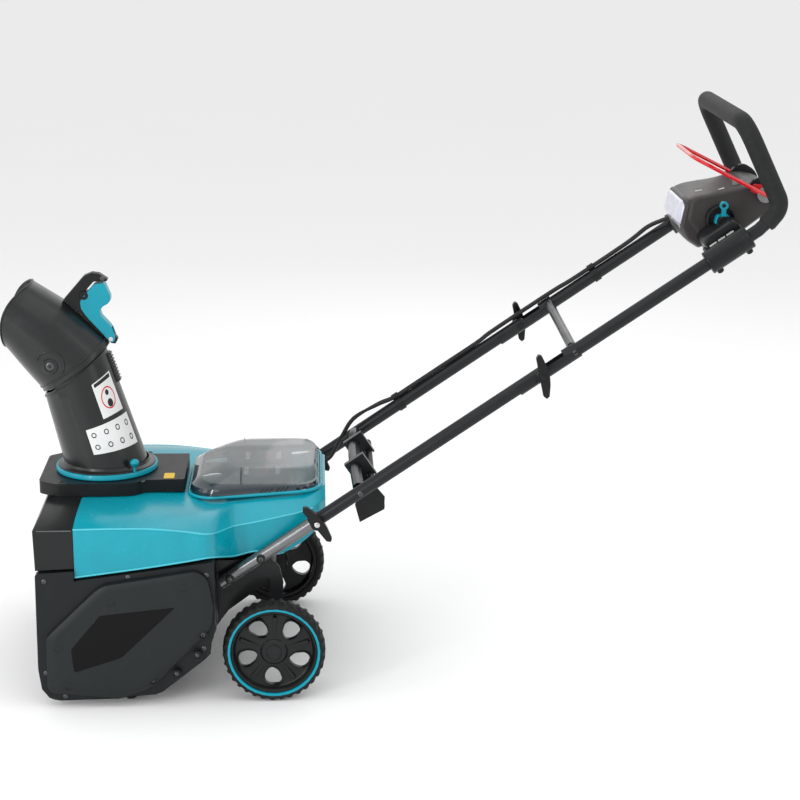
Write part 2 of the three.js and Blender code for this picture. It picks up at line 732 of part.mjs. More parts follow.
// An ear inside the deflector carries its pivot; it thickens below to meet the chute's wall.
const chuteEar = (side, grow = 0) => {
  const [y, z] = [HOOD_PIVOT.y, HOOD_PIVOT.z];
  const blade = flat([
    [y - 10 - grow, z + 6 + grow],
    [y - 5, z + 10 + grow],
    [y + 5, z + 10 + grow],
    [y + 10 + grow, z + 6 + grow],
    [y + 36 + grow, z - 40],
    [y + 36 + grow, z - 62 - grow],
    [y + 14 - grow, z - 62 - grow],
    [y + 6 - grow, z - 44],
  ]);
  const foot = flat([
    [y + 9 - grow, z - 48 + grow],
    [y + 36 + grow, z - 37 + grow],
    [y + 36 + grow, z - 62 - grow],
    [y + 14 - grow, z - 62 - grow],
  ]);
  const span = (from, to) => (side > 0 ? [from, to] : [-to, -from]);
  return join(
    prismX(blade, ...span(62 - grow, 66 + grow * 0.5)),
    prismX(foot, ...span(62 - grow, 71.4 + grow)),
  );
};
const PIN = 5;
const chuteRack = () => {
  const rise = RIM.rear[1] - FLANGE.high;
  const lean = Math.atan2(CHUTE.y + CHUTE.radius - RIM.rear[0], rise);
  const foot = { z: 548, count: 9, pitch: 6.6 };
  const y = CHUTE.y + CHUTE.radius - Math.tan(lean) * (foot.z - FLANGE.high);
  const back = box(-11, 11, -1.5, 3, 0, foot.count * foot.pitch);
  const ribs = [];
  for (let i = 0; i < foot.count; i += 1) {
    ribs.push(box(-9, 9, 2, 6, (i + 0.25) * foot.pitch, (i + 0.75) * foot.pitch));
  }
  return join(back, ...ribs).rotateX(lean).translate(0, y, foot.z);
};
const chuteLock = () => {
  const at = { x: 72, y: -262 };
  const stem = roundZ(3.5, FLANGE.high + GAP, FLANGE.high + 14, at.x, at.y, 8);
  const head = new THREE.SphereGeometry(8, 8, 6).scale(1.3, 1.1, 1).translate(at.x, at.y, FLANGE.high + 18);
  return join(stem, head);
};

const deflectorHood = () => {
  const { seam, middle, mouth, lip, lipStep } = HOOD;
  const hood = skin(
    [
      shifted(lip, ...lipStep),
      lip,
      seam,
      middle,
      mouth,
      inset(mouth, WALL),
      inset(middle, WALL),
      inset(shifted(lip, 0, 3), 2.4),
      inset(shifted(lip, ...lipStep), 2.4),
    ].map((ring) => ringAt(ring, 24)),
    true,
  );
  // The chute's ears stand inside the hood: its lip is open where they pass.
  const ways = [1, -1].flatMap((side) =>
    [0, -10, -20, -30].map((degrees) =>
      chuteEar(side, 1.2)
        .translate(0, -HOOD_PIVOT.y, -HOOD_PIVOT.z)
        .rotateX(THREE.MathUtils.degToRad(degrees))
        .translate(0, HOOD_PIVOT.y, HOOD_PIVOT.z),
    ),
  );
  return cut(hood, roundX(PIN + RUNNING, -100, 100, HOOD_PIVOT.y, HOOD_PIVOT.z, 12), ...ways);
};
const BRACKET_HALF = 9.5;
const deflectorBracket = () => {
  const side = flat([
    [-391, 707.5],
    [-351, 753],
    [-336, 759],
    [-322, 757],
    [-306, 746],
    [-309, 742],
    [-333, 742],
    [-351, 722],
    [-358, 702],
    [-348, 682],
    [-330, 660],
    [-311, 644],
    [-298, 640],
    [-291, 631],
    [-296, 622],
    [-304, 623],
    [-312, 632.5],
    [-350, 669.5],
    [-386.5, 705.2],
  ]);
  const bore = roundX(TRIGGER_PIN + RUNNING, -20, 20, TRIGGER_PIVOT.y, TRIGGER_PIVOT.z, 12);
  return cut(prismX(side, -BRACKET_HALF, BRACKET_HALF), bore);
};
const TRIGGER_PIVOT = { y: -304, z: 632 };
const TRIGGER_PIN = 3;
// The release trigger straddles the bracket: a channel that is open towards it.
const deflectorTrigger = () => {
  const side = outline([
    [-331, 738, 2],
    [-313, 740, 3],
    [-301, 711, 4],
    [-304, 702, 4],
    [-322, 692, 6],
    [-324, 680, 6],
    [-302, 655, 4],
    [-295, 634, 3],
    [-299, 625, 3],
    [-305, 625, 3],
    [-318, 641, 3],
    [-349, 676, 6],
    [-361, 696, 6],
    [-357, 710, 4],
  ]);
  const room = flat([
    [-345, 760],
    [-318, 745],
    [-306, 711],
    [-309, 705],
    [-327, 694],
    [-329, 679],
    [-306, 654],
    [-285, 650],
    [-285, 610],
    [-318, 610],
    [-372, 680],
    [-372, 715],
  ]);
  const half = BRACKET_HALF + 2.6;
  const channel = cut(prismX(side, -half, half), prismX(room, -BRACKET_HALF - 0.6, BRACKET_HALF + 0.6));
  return join(channel, roundX(TRIGGER_PIN, -half, half, TRIGGER_PIVOT.y, TRIGGER_PIVOT.z, 12));
};

// ---------------------------------------------------------------- wheels
const wheelX = TRACK / 2;
const halfTyre = TYRE_WIDTH / 2;
const RING_DEPTH = 5;
const ringOuter = TYRE_RADIUS - 8.5;
const tyre = () => {
  const [r, h] = [RIM_RADIUS + GAP, halfTyre];
  const profile = [
    [r, -h + 1],
    [TYRE_RADIUS - 5, -h],
    [TYRE_RADIUS, -h + 6],
    [TYRE_RADIUS, h - 6],
    [TYRE_RADIUS - 5, h],
    [ringOuter + GAP, h],
    [ringOuter + GAP, h - RING_DEPTH],
    [r, h - RING_DEPTH],
  ];
  return turnedX(profile, 0, TYRE_RADIUS, 24).translate(wheelX, 0, 0);
};
const wheelHub = () => {
  const bore = AXLE_RADIUS + RUNNING;
  const profile = [
    [bore, -20],
    [18, -20],
    [20, -3],
    [70, -3],
    [72, -17],
    [RIM_RADIUS, -17],
    [RIM_RADIUS, halfTyre - RING_DEPTH + GAP],
    [ringOuter, halfTyre - RING_DEPTH + GAP],
    [ringOuter, halfTyre],
    [RIM_RADIUS - 2, halfTyre],
    [75, 14],
    [68, 6],
    [24, 9],
    [19, 16],
    [bore, 16],
  ];
  const disc = turnedX(profile, 0, TYRE_RADIUS, 24).translate(wheelX, 0, 0);
  const windows = [0, 1, 2, 3, 4].map((i) => {
    const shape = flat([[30, 2], [44, 15], [62, 13], [68, 3], [65, -10], [48, -14], [32, -4]]);
    return prismX(shape, -30, 30)
      .applyMatrix4(new THREE.Matrix4().makeRotationX(((i + 0.72) / 5) * 2 * Math.PI))
      .translate(wheelX, 0, TYRE_RADIUS);
  });
  return cut(disc, ...windows);
};
const axle = () => roundX(AXLE_RADIUS, -wheelX - 14, wheelX + 14, 0, TYRE_RADIUS, 16);

const BRACKET = { inner: NARROW_HALF + GAP, outer: RAIL_X - TUBE - GAP };
const BOLT_AT = [-196, -126]; // along the rail
const axleBracket = () => {
  const shape = outline([
    [-10, 84, 6],
    [10, 84, 6],
    [18, 205, 2],
    [10, 238, 4],
    [-16, 258, 4],
    [-100, 202, 6],
    [-90, 180, 6],
    [-30, 214, 4],
    [-6, 212, 4],
  ]);
  const plate = prismX(shape, BRACKET.inner, BRACKET.outer);
  const hole = roundX(AXLE_RADIUS + GAP, BRACKET.inner - 1, BRACKET.outer + 1, 0, TYRE_RADIUS, 16);
  return cut(plate, hole, ...boltHoles());
};
const boltHoles = () =>
  BOLT_AT.map((s) => {
    const at = onRail(s);
    return roundX(BOLT + GAP, NARROW_HALF - 12, RAIL_X + TUBE + 12, at.y, at.z, 12);
  });
// ---------------------------------------------------------------- handle
const slab = (s0, s1, off0, off1, x0, x1) =>
  box(x0, x1, s0, s1, off0, off1).rotateX(SLOPE).translate(0, LOWER_FOLD.y, LOWER_FOLD.z);
const SIDES = 12; // of each round tube
const pipe = (s0, s1, radius = TUBE, bore = TUBE_BORE) => bar(onRail(s0), onRail(s1), radius, SIDES, bore);
const pivotBore = (s) => roundX(BOLT + GAP, RAIL_X - 30, RAIL_X + 30, onRail(s).y, onRail(s).z, 16);

// A rounded end whose sides line up with the tube's own.
const railBall = (s) =>
  new THREE.SphereGeometry(TUBE, SIDES, 6)
    .rotateX(Math.PI / 2)
    .applyQuaternion(new THREE.Quaternion().setFromUnitVectors(AXIS_Z, onRail(1).sub(onRail(0)).normalize()))
    .translate(RAIL_X, onRail(s).y, onRail(s).z);

// At the lower fold each tube keeps half of its thickness past the pivot.
const lowerRail = () => {
  const stub = join(
    pipe(RAIL_FOOT, -LAP),
    bar(onRail(-LAP - 8), onRail(0), TUBE, SIDES),
    roundX(TUBE, RAIL_X - TUBE, RAIL_X + TUBE, LOWER_FOLD.y, LOWER_FOLD.z, 16),
  );
  const half = slab(-LAP, TUBE + 5, -TUBE - 5, TUBE + 5, RAIL_X - GAP / 2, RAIL_X + TUBE + 5);
  return cut(stub, half, pivotBore(0), ...boltHoles());
};
const middleRail = () => {
  const rail = join(
    pipe(LAP + 6, UPPER_FOLD_AT - 6),
    bar(onRail(0), onRail(LAP + 8), TUBE, SIDES),
    roundX(TUBE, RAIL_X - TUBE, RAIL_X + TUBE, LOWER_FOLD.y, LOWER_FOLD.z, 16),
    bar(onRail(UPPER_FOLD_AT - 10), onRail(UPPER_FOLD_AT), TUBE, SIDES),
    railBall(UPPER_FOLD_AT),
  );
  const half = slab(-TUBE - 5, LAP, -TUBE - 5, TUBE + 5, RAIL_X - TUBE - 5, RAIL_X + GAP / 2);
  const drain = bar(onRail(60), onRail(60, RAIL_X, -TUBE - 5), 2.5, 8);
  return cut(rail, half, pivotBore(0), pivotBore(UPPER_FOLD_AT), drain);
};
// The upper tube's lower end is a sleeve, slotted above so that the middle tube can swing out.
const SLOT_END = UPPER_FOLD_AT + SLOT_AFTER;
const SLEEVE_END = SLOT_END + 28;
const LOOP_FROM = 930; // along the rail, where the bent part of the tube starts
const upperSide = () => {
  const bore = TUBE + RUNNING;
  const start = UPPER_FOLD_AT - SLOT_BEFORE;
  const sleeve = pipe(start, SLOT_END, SLEEVE, bore);
  const slot = slab(start - 1, SLOT_END, -0.01, SLEEVE + 5, RAIL_X - bore - 0.1, RAIL_X + bore + 0.1);
  const neck = pipe(SLOT_END - 0.5, SLEEVE_END, SLEEVE, TUBE_BORE - 0.4);
  const tube = pipe(SLEEVE_END - 4, LOOP_FROM + 1);
  return join(cut(sleeve, slot, pivotBore(UPPER_FOLD_AT)), neck, tube);
};

const BEND = { y: 919, z: 908 };
const TOP_BAR = { y: 848, z: 1057 };
const loopPoints = () => {
  const start = onRail(LOOP_FROM);
  const one = [
    start,
    onRail(972),
    point(RAIL_X, BEND.y, BEND.z),
    point(RAIL_X, TOP_BAR.y, TOP_BAR.z),
  ];
  const other = one.map((p) => point(-p.x, p.y, p.z)).reverse();
  return [...one, ...other];
};
const upperTube = () => {
  const loop = swept(route(loopPoints(), 46), TUBE, LOOP_STEPS, 8, TUBE_BORE - 0.4);
  return join(loop, upperSide(), mirrored(upperSide()));
};
const LOOP_STEPS = 28;
const grip = () => {
  const [, from, to] = loopPoints();
  const start = from.clone().lerp(to, 0.1);
  const above = box(-300, 300, 0, 400, -300, 300)
    .rotateX(Math.atan2(to.z - from.z, to.y - from.y))
    .translate(0, start.y, start.z);
  return common(swept(route(loopPoints(), 46), GRIP_RADIUS, LOOP_STEPS, 8, TUBE + 1), above);
};
const crossBar = (s, off, half, radius, rise) => {
  const ends = [onRail(s, half, off), onRail(s, -half, off)];
  const crown = onRail(s, 0, off + rise);
  const path = new THREE.QuadraticBezierCurve3(ends[0], crown, ends[1]);
  return swept(path, radius, 6, 10, radius - 1.6);
};
const LOWER_BAR = { s: 96, off: 4, radius: 11, rise: 18 };
const UPPER_BAR = { s: 567, off: 5, radius: 9, rise: 4 };
const lowerBarHalf = RAIL_X - TUBE - GAP;
const upperBarHalf = RAIL_X - SLEEVE - GAP;

const TOOL = { s: 112, off: -18, radius: 7 };
const lowerCrossBar = () =>
  join(crossBar(LOWER_BAR.s, LOWER_BAR.off, lowerBarHalf, LOWER_BAR.radius, LOWER_BAR.rise), toolClip(-80), toolClip(70));
const toolClip = (x) => {
  const middle = LOWER_BAR.off + LOWER_BAR.rise * 0.5 * (1 - (x / lowerBarHalf) ** 2);
  const body = slab(LOWER_BAR.s - 15, TOOL.s + 11, TOOL.off - 4, middle + 15, x - 7, x + 7);
  const seat = onRail(LOWER_BAR.s, 0, middle);
  const hold = onRail(TOOL.s, 0, TOOL.off);
  const mouth = slab(TOOL.s - TOOL.radius - 0.6, TOOL.s + TOOL.radius + 0.6, TOOL.off - 20, TOOL.off, x - 9, x + 9);
  return cut(
    body,
    roundX(LOWER_BAR.radius - 0.6, x - 9, x + 9, seat.y, seat.z, 12),
    roundX(TOOL.radius + 0.6, x - 9, x + 9, hold.y, hold.z, 12),
    mouth,
  );
};
const cleanOutTool = () => {
  const at = onRail(TOOL.s, 0, TOOL.off);
  const shaft = roundX(TOOL.radius, -146, 150, at.y, at.z, 14);
  const blade = prismX(flat([[153, 341], [162, 307], [208, 332], [209, 356], [196, 372], [172, 378], [160, 362]]), 146, 150);
  const lip = prismX(flat([[162, 307], [208, 332], [209, 338], [161, 312]]), 128, 150);
  return join(shaft, blade, lip);
};

// A T-shaped clamp knob on the outer end of its through bolt.
const clampKnob = (s, tilt, innerHead) => {
  const at = onRail(s);
  const face = RAIL_X + (s === 0 ? TUBE : SLEEVE) + GAP;
  const hub = roundX(12, face, face + 16, at.y, at.z, 12);
  const wing = extrude(outline([[-40, -6, 6], [40, -6, 6], [42, 4, 4], [12, 12, 6], [-12, 12, 6], [-42, 4, 4]]), 12, 0, 1)
    .applyMatrix4(new THREE.Matrix4().makeBasis(AXIS_Y, AXIS_Z, AXIS_X))
    .rotateX(tilt)
    .translate(face + 5, at.y, at.z);
  const bolt = roundX(BOLT, innerHead, face + 19, at.y, at.z, 8);
  const head = roundX(8, innerHead, innerHead + 3, at.y, at.z, 8);
  return join(hub, wing, bolt, head);
};

// ---------------------------------------------------------------- console
const POD_HALF = 165;
const CONSOLE = { half: 92, sleeveFrom: 853, sleeveTo: 942, sleeveRadius: 22 };
const consoleSide = [
  [762, 861, 6],
  [768, 903, 6],
  [790, 909, 8],
  [847, 918, 10],
  [894, 932, 10],
  [928, 926, 10],
  [946, 902, 8],
  [936, 886, 4],
  [830, 806, 4],
  [800, 818, 6],
];
const lensSide = flat([[750, 860], [758, 899], [782, 897], [803, 876], [818, 843], [814, 826], [795, 810], [770, 830]]);
const LENS_HALF = 72;
const consoleSolid = () => {
  const body = prismX(outline(consoleSide), -CONSOLE.half, CONSOLE.half);
  const arm = slab(CONSOLE.sleeveFrom + 6, CONSOLE.sleeveTo - 8, -16, 18, -RAIL_X, RAIL_X);
  const pod = slab(CONSOLE.sleeveFrom + 19, CONSOLE.sleeveTo, -16, 34, -POD_HALF, POD_HALF);
  const clamp = (x) =>
    bar(onRail(CONSOLE.sleeveFrom, x), onRail(CONSOLE.sleeveTo, x), CONSOLE.sleeveRadius, 12);
  return join(body, arm, pod, clamp(RAIL_X), clamp(-RAIL_X));
};
const consoleBores = () => [
  bar(onRail(CONSOLE.sleeveFrom - 5), onRail(CONSOLE.sleeveTo + 5), TUBE + 0.8, SIDES),
  bar(onRail(CONSOLE.sleeveFrom - 5, -RAIL_X), onRail(CONSOLE.sleeveTo + 5, -RAIL_X), TUBE + 0.8, SIDES),
];
const lensRoom = () => prismX(lensSide, -LENS_HALF, LENS_HALF);
const consoleInside = () => {
  const room = consoleSide.map(([y, z]) => [y + (858 - y) * 0.09, z + (868 - z) * 0.12, 2]);
  return prismX(outline(room), -CONSOLE.half + WALL, CONSOLE.half - WALL);
};
const bailBore = () => roundX(BAIL.wire + RUNNING, -BAIL.half, BAIL.half, BAIL.y, BAIL.z, 14);
const leverSlot = (side) => {
  const x = side * LEVER.x;
  return box(x - 5, x + 5, LEVER.y - 18, LEVER.y + 18, LEVER.z - LEVER.hub - 1, LEVER.z + 60);
};
const consoleHalf = (upper) => {
  // The halves part on a plane through the rails.
  const keepFrom = upper ? GAP / 2 : -200;
  const keepTo = upper ? 200 : -GAP / 2;
  const half = common(consoleSolid(), slab(600, 1200, keepFrom, keepTo, -300, 300));
  const shell = cut(half, consoleInside(), lensRoom(), ...consoleBores());
  return upper ? cut(shell, bailBore(), leverSlot(1), leverSlot(-1), buttonBore()) : shell;
};
const headlightLens = () => {
  const clear = common(prismX(outline(consoleSide), -CONSOLE.half, CONSOLE.half), lensRoom());
  const grown = common(clear, box(-LENS_HALF + GAP, LENS_HALF - GAP, 700, 900, 700, 1000));
  return common(grown, prismX(flat([[740, 856], [752, 902], [781, 896.4], [802.4, 875.7], [817.3, 843], [813, 828], [740, 740]]), -90, 90));
};
const BAIL = { y: 912, z: 913, half: 104, wire: 4, reach: 150, lift: THREE.MathUtils.degToRad(153) };
const bail = () => {
  const tip = { y: BAIL.y + BAIL.reach * Math.cos(BAIL.lift), z: BAIL.z + BAIL.reach * Math.sin(BAIL.lift) };
  const points = [
    point(BAIL.half, BAIL.y, BAIL.z),
    point(BAIL.half, tip.y, tip.z),
    point(-BAIL.half, tip.y, tip.z),
    point(-BAIL.half, BAIL.y, BAIL.z),
  ];
  const shaft = roundX(BAIL.wire, -BAIL.half, BAIL.half, BAIL.y, BAIL.z, 10);
  return join(swept(route(points, 36), BAIL.wire, 26, 6), shaft);
};
const BUTTON = { x: 40, y: 872, z: 926, radius: 10 };
const buttonBore = () => roundZ(BUTTON.radius + GAP, BUTTON.z - 40, BUTTON.z + 40, BUTTON.x, BUTTON.y, 16);
const startButton = () => roundZ(BUTTON.radius, BUTTON.z - 16, BUTTON.z + 6, BUTTON.x, BUTTON.y, 16);
const LEVER = { x: 128, y: 830, z: 868, hub: 8, rise: 30 };
const lockLever = (side) => {
  const x = side * LEVER.x;
  const top = LEVER.z + LEVER.rise;
  const stem = box(x - 2.5, x + 2.5, LEVER.y - 4, LEVER.y + 4, LEVER.z, top - 4);
  const eye = roundX(8, x - 3, x + 3, LEVER.y, top, 16);
  const hub = roundX(LEVER.hub, x - 4, x + 4, LEVER.y, LEVER.z, 16);
  return cut(join(stem, eye, hub), roundX(4, x - 5, x + 5, LEVER.y, top, 12));
};

// ---------------------------------------------------------------- control cables
const CABLE = 3.2;
const railSide = -RAIL_X;
const spread = 4.8; // half of the distance between the two cables
const cableJoin = 300; // along the rail, where the lower and upper stretches meet
const cable = (points, steps) =>
  swept(new THREE.CatmullRomCurve3(points, false, 'centripetal'), CABLE, steps, 6);
const lowerCable = (side) => {
  const x = railSide + side * spread;
  return cable([
    point(-132 + side * 8, 101, 346),
    point(-140 + side * 8, 112, 352 + side * 3),
    point(-160 + side * 6, 132, 384 + side * 4),
    point(-184 + side * 5, 158, 417 + side * 3),
    onRail(165, x, 24),
    onRail(200, x, 17.5),
    onRail(240, x, 17),
    onRail(cableJoin, x, 17),
  ], 26);
};
const upperCable = (side) => {
  const x = railSide + side * spread;
  return cable([
    onRail(cableJoin + GAP, x, 17),
    onRail(400, x, 17),
    onRail(436, x, 19.5),
    onRail(510, x, 20),
    onRail(590, x, 19.5),
    onRail(640, x, 17.5),
    onRail(760, x, 18),
    onRail(812, x + 8, 24),
    onRail(842, x + 32, 25),
    onRail(CONSOLE.sleeveFrom + 8, -151 + side * spread, 24),
    onRail(CONSOLE.sleeveFrom + 18, -150 + side * spread, 24),
  ], 36);
};

// ---------------------------------------------------------------- assembly
const pair = (name, geometry, look) => {
  part(`${name}_left`, geometry, look);
  part(`${name}_right`, mirrored(geometry), look);
};

part('auger_housing', augerHousing(), BLACK);
part('scraper_bar', scraperBar(), BLACK);
pair('side_plate', sidePlate(), TUBE_PAINT);
const beltRoom = prismX(flat(shrink(BELT_OUTLINE, 24)), coverOuter - WALL - 1, coverOuter + 1);
part('side_cover_left', sideCover([beltRoom]), DARK);
part('side_cover_right', mirrored(sideCover([])), DARK);
part('belt_cover', beltCover(), DARK);
part('rear_chassis', rearChassis(), BLACK);
part('body_shell', bodyShell(), TEAL);
part('front_hood', frontHood(), BLACK);
part('top_cover', topCover(), BLACK);
part('chute_collar', chuteCollar(), TEAL);
pair('battery', battery(1), DARK);
part('motor', motor(), STEEL);
part('drive_belt', driveBelt(), RUBBER);
part('axle', axle(), STEEL);
pair('auger_bearing', bearing(), STEEL);
pair('axle_bracket', axleBracket(), TUBE_PAINT);
pair('lower_rail', lowerRail(), TUBE_PAINT);

part('auger_shaft', augerShaft(), STEEL);
const flightFrom = PADDLE_HALF + 8;
const flightTo = CHAMBER_HALF - 6;
pair('auger_flight', flight(flightFrom, flightTo), RUBBER);
part('auger_pulley', pulley(AUGER_PULLEY, AUGER.shaft + GAP, AUGER.y, AUGER.z), BLACK);
part('motor_rotor', motorRotor(), STEEL);

pair('tyre', tyre(), RUBBER);
pair('wheel_hub', wheelHub(), BLACK);

part('chute_tube', chuteTube(), BLACK);
part('chute_lock', chuteLock(), TEAL);
part('deflector_hood', deflectorHood(), BLACK);
part('deflector_bracket', deflectorBracket(), BLACK);
part('deflector_trigger', deflectorTrigger(), TEAL);
part('battery_lid', batteryLid(), SMOKE);

pair('middle_rail', middleRail(), TUBE_PAINT);
part('lower_cross_bar', lowerCrossBar(), TUBE_PAINT);
part('clean_out_tool', cleanOutTool(), BLACK);
pair('lower_clamp_knob', clampKnob(0, THREE.MathUtils.degToRad(-52.7), NARROW_HALF + GAP), BLACK);

part('upper_tube', upperTube(), TUBE_PAINT);
part('upper_cross_bar', crossBar(UPPER_BAR.s, UPPER_BAR.off, upperBarHalf, UPPER_BAR.radius, UPPER_BAR.rise), TUBE_PAINT);
part('handle_grip', grip(), RUBBER);
part('console_base', consoleHalf(false), BLACK);
part('console_cover', consoleHalf(true), BLACK);
part('headlight_lens', headlightLens(), LENS);
part('start_button', startButton(), BLACK);
part('bail_lever', bail(), RED);
part('lock_lever_left', lockLever(1), TEAL);
part('lock_lever_right', lockLever(-1), TEAL);
pair('upper_clamp_knob', clampKnob(UPPER_FOLD_AT, THREE.MathUtils.degToRad(-78.5), RAIL_X - SLEEVE - 3 - GAP), BLACK);

part('signal_cable_lower', lowerCable(1), RUBBER);
part('power_cable_lower', lowerCable(-1), RUBBER);
part('signal_cable_upper', upperCable(1), RUBBER);
part('power_cable_upper', upperCable(-1), RUBBER);

// Move the machine so that its bounding box stands centred over the origin.
const size = new THREE.Box3().setFromObject(machine);
const centre = size.getCenter(new THREE.Vector3());
machine.position.set(-centre.x, -centre.y, -size.min.z);

export default machine;
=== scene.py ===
import json
import math
import bmesh
import bpy
import numpy as np
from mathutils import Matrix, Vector

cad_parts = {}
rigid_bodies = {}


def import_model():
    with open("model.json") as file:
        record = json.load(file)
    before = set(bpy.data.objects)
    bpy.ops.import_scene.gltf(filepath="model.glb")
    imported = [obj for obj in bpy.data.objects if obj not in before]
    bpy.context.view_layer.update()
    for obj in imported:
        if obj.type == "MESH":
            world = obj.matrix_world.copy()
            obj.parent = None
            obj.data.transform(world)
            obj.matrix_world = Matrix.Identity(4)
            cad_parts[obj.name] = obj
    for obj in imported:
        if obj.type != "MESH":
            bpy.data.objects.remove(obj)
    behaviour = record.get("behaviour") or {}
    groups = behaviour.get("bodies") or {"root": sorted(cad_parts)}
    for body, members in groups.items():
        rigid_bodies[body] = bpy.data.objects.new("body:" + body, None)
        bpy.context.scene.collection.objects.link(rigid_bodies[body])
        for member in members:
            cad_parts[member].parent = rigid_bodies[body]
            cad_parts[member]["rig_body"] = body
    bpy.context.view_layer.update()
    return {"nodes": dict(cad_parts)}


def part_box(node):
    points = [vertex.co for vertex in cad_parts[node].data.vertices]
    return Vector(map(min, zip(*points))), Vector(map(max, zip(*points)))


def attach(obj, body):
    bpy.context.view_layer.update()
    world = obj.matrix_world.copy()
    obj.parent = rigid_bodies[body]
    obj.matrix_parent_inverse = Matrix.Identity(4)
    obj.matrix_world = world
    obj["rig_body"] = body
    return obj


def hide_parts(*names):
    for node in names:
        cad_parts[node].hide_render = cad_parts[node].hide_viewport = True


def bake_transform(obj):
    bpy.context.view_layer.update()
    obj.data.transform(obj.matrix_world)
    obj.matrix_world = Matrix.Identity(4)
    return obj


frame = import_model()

NODES = frame["nodes"]
TAU = 2 * math.pi

# The machine is drawn in millimetres from the wheel axle, on the ground, and set on the frame.
_low, _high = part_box("axle")
ORIGIN = np.array([(_low.x + _high.x) / 2, (_low.y + _high.y) / 2, 0.0])


def place(points):
    """Points in millimetres from the axle become points in metres in the frame."""
    return np.asarray(points, float) / 1000 + ORIGIN


# ---------------- shader expressions
class Wire:
    """A socket of a material that Python's operators work on; each operator adds a Math node."""

    def __init__(self, sheet, socket):
        self.sheet, self.socket = sheet, socket

    def _math(self, kind, a, b=None):
        values = {0: a} if b is None else {0: a, 1: b}
        return self.sheet.node("ShaderNodeMath", {"operation": kind}, values)

    def __add__(self, other): return self._math("ADD", self, other)
    def __radd__(self, other): return self._math("ADD", other, self)
    def __sub__(self, other): return self._math("SUBTRACT", self, other)
    def __rsub__(self, other): return self._math("SUBTRACT", other, self)
    def __mul__(self, other): return self._math("MULTIPLY", self, other)
    def __rmul__(self, other): return self._math("MULTIPLY", other, self)
    def sin(self): return self._math("SINE", self)

    def clamp(self, low=0.0, high=1.0):
        ranged = {"interpolation_type": "LINEAR"}
        return self.sheet.node("ShaderNodeMapRange", ranged, {0: self, 1: low, 2: high, 3: 0.0, 4: 1.0})

    def smooth(self, low, high):
        ranged = {"interpolation_type": "SMOOTHSTEP"}
        return self.sheet.node("ShaderNodeMapRange", ranged, {0: self, 1: low, 2: high, 3: 0.0, 4: 1.0})


class Sheet:
    """One material: a Principled shader and the nodes that feed it."""

    def __init__(self, name, **constants):
        self.material = bpy.data.materials.new(name)
        self.material.use_nodes = True
        self.tree = self.material.node_tree
        self.shader = self.tree.nodes["Principled BSDF"]
        for key, value in constants.items():
            self.shader.inputs[key.replace("_", " ")].default_value = value

    def node(self, kind, settings=None, values=None, out=0):
        made = self.tree.nodes.new(kind)
        for key, value in (settings or {}).items():
            setattr(made, key, value)
        for key, value in (values or {}).items():
            self.feed(made.inputs[key], value)
        return Wire(self, made.outputs[out])

    def feed(self, socket, value):
        if isinstance(value, Wire):
            self.tree.links.new(value.socket, socket)
        else:
            socket.default_value = value

    def where(self):
        return self.node("ShaderNodeTexCoord", out=3)

    def axes(self):
        """Object coordinates as three separate numbers, in metres."""
        split = self.tree.nodes.new("ShaderNodeSeparateXYZ")
        self.tree.links.new(self.where().socket, split.inputs[0])
        return [Wire(self, split.outputs[i]) for i in range(3)]

    def noise(self, scale, detail=3.0, rough=0.55, stretch=None):
        at = self.where()
        if stretch:
            at = self.node("ShaderNodeMapping", None, {0: at, 3: stretch})
        return self.node("ShaderNodeTexNoise", None, {"Vector": at, "Scale": scale, "Detail": detail,
            "Roughness": rough})

    def cells(self, scale):
        return self.node("ShaderNodeTexVoronoi", None, {"Vector": self.where(), "Scale": scale})

    def mix(self, factor, a, b):
        made = self.tree.nodes.new("ShaderNodeMix")
        made.data_type = "RGBA"
        self.feed(made.inputs[0], factor)
        self.feed(made.inputs[6], a if isinstance(a, Wire) else (*a, 1.0))
        self.feed(made.inputs[7], b if isinstance(b, Wire) else (*b, 1.0))
        return Wire(self, made.outputs[2])

    def colour(self, value):
        self.feed(self.shader.inputs["Base Color"], value if isinstance(value, Wire) else (*value, 1.0))

    def roughness(self, value):
        self.feed(self.shader.inputs["Roughness"], value)

    def bump(self, height, depth, strength=1.0):
        made = self.node("ShaderNodeBump", None, {"Strength": strength, "Distance": depth, "Height": height})
        self.feed(self.shader.inputs["Normal"], made)
        return self


def moulded(name, base, rough, grain=1400.0, depth=0.00006, coat=0.0, dust=0.35, shine=0.24):
    """Moulded plastic: fine spark-eroded grain, slow colour drift, rubbed and dusty patches."""
    s = Sheet(name, Coat_Weight=coat, Coat_Roughness=0.12, Specular_IOR_Level=shine)
    drift = s.noise(9.0, 3.0).clamp(0.3, 0.7)
    patch = s.noise(46.0, 5.0, 0.65).clamp(0.52, 0.78)
    lighter = tuple(min(1.0, c * 1.22 + 0.006) for c in base)
    darker = tuple(c * 0.86 for c in base)
    s.colour(s.mix(patch * dust, s.mix(drift, darker, base), lighter))
    s.roughness(drift * 0.07 + patch * 0.09 + rough - 0.05)
    fine = s.noise(grain, 2.0, 0.6)
    wave = s.noise(60.0, 2.0)
    return s.bump(fine * 0.8 + wave * 0.6, depth)


def coated(name, base, rough, metal=0.25, depth=0.00005):
    """Powder coat on steel: orange peel, small pits and a worn sheen."""
    s = Sheet(name, Metallic=metal, Coat_Weight=0.06, Coat_Roughness=0.3, Specular_IOR_Level=0.35)
    drift = s.noise(14.0, 3.0).clamp(0.3, 0.7)
    fleck = s.noise(520.0, 2.0).clamp(0.6, 0.75)
    s.colour(s.mix(fleck * 0.4, s.mix(drift, tuple(c * 0.85 for c in base), base),
        tuple(c * 1.5 + 0.01 for c in base)))
    s.roughness(drift * 0.1 + fleck * 0.06 + rough - 0.06)
    return s.bump(s.noise(700.0, 2.0) * 0.6 + s.noise(190.0, 2.0), depth)


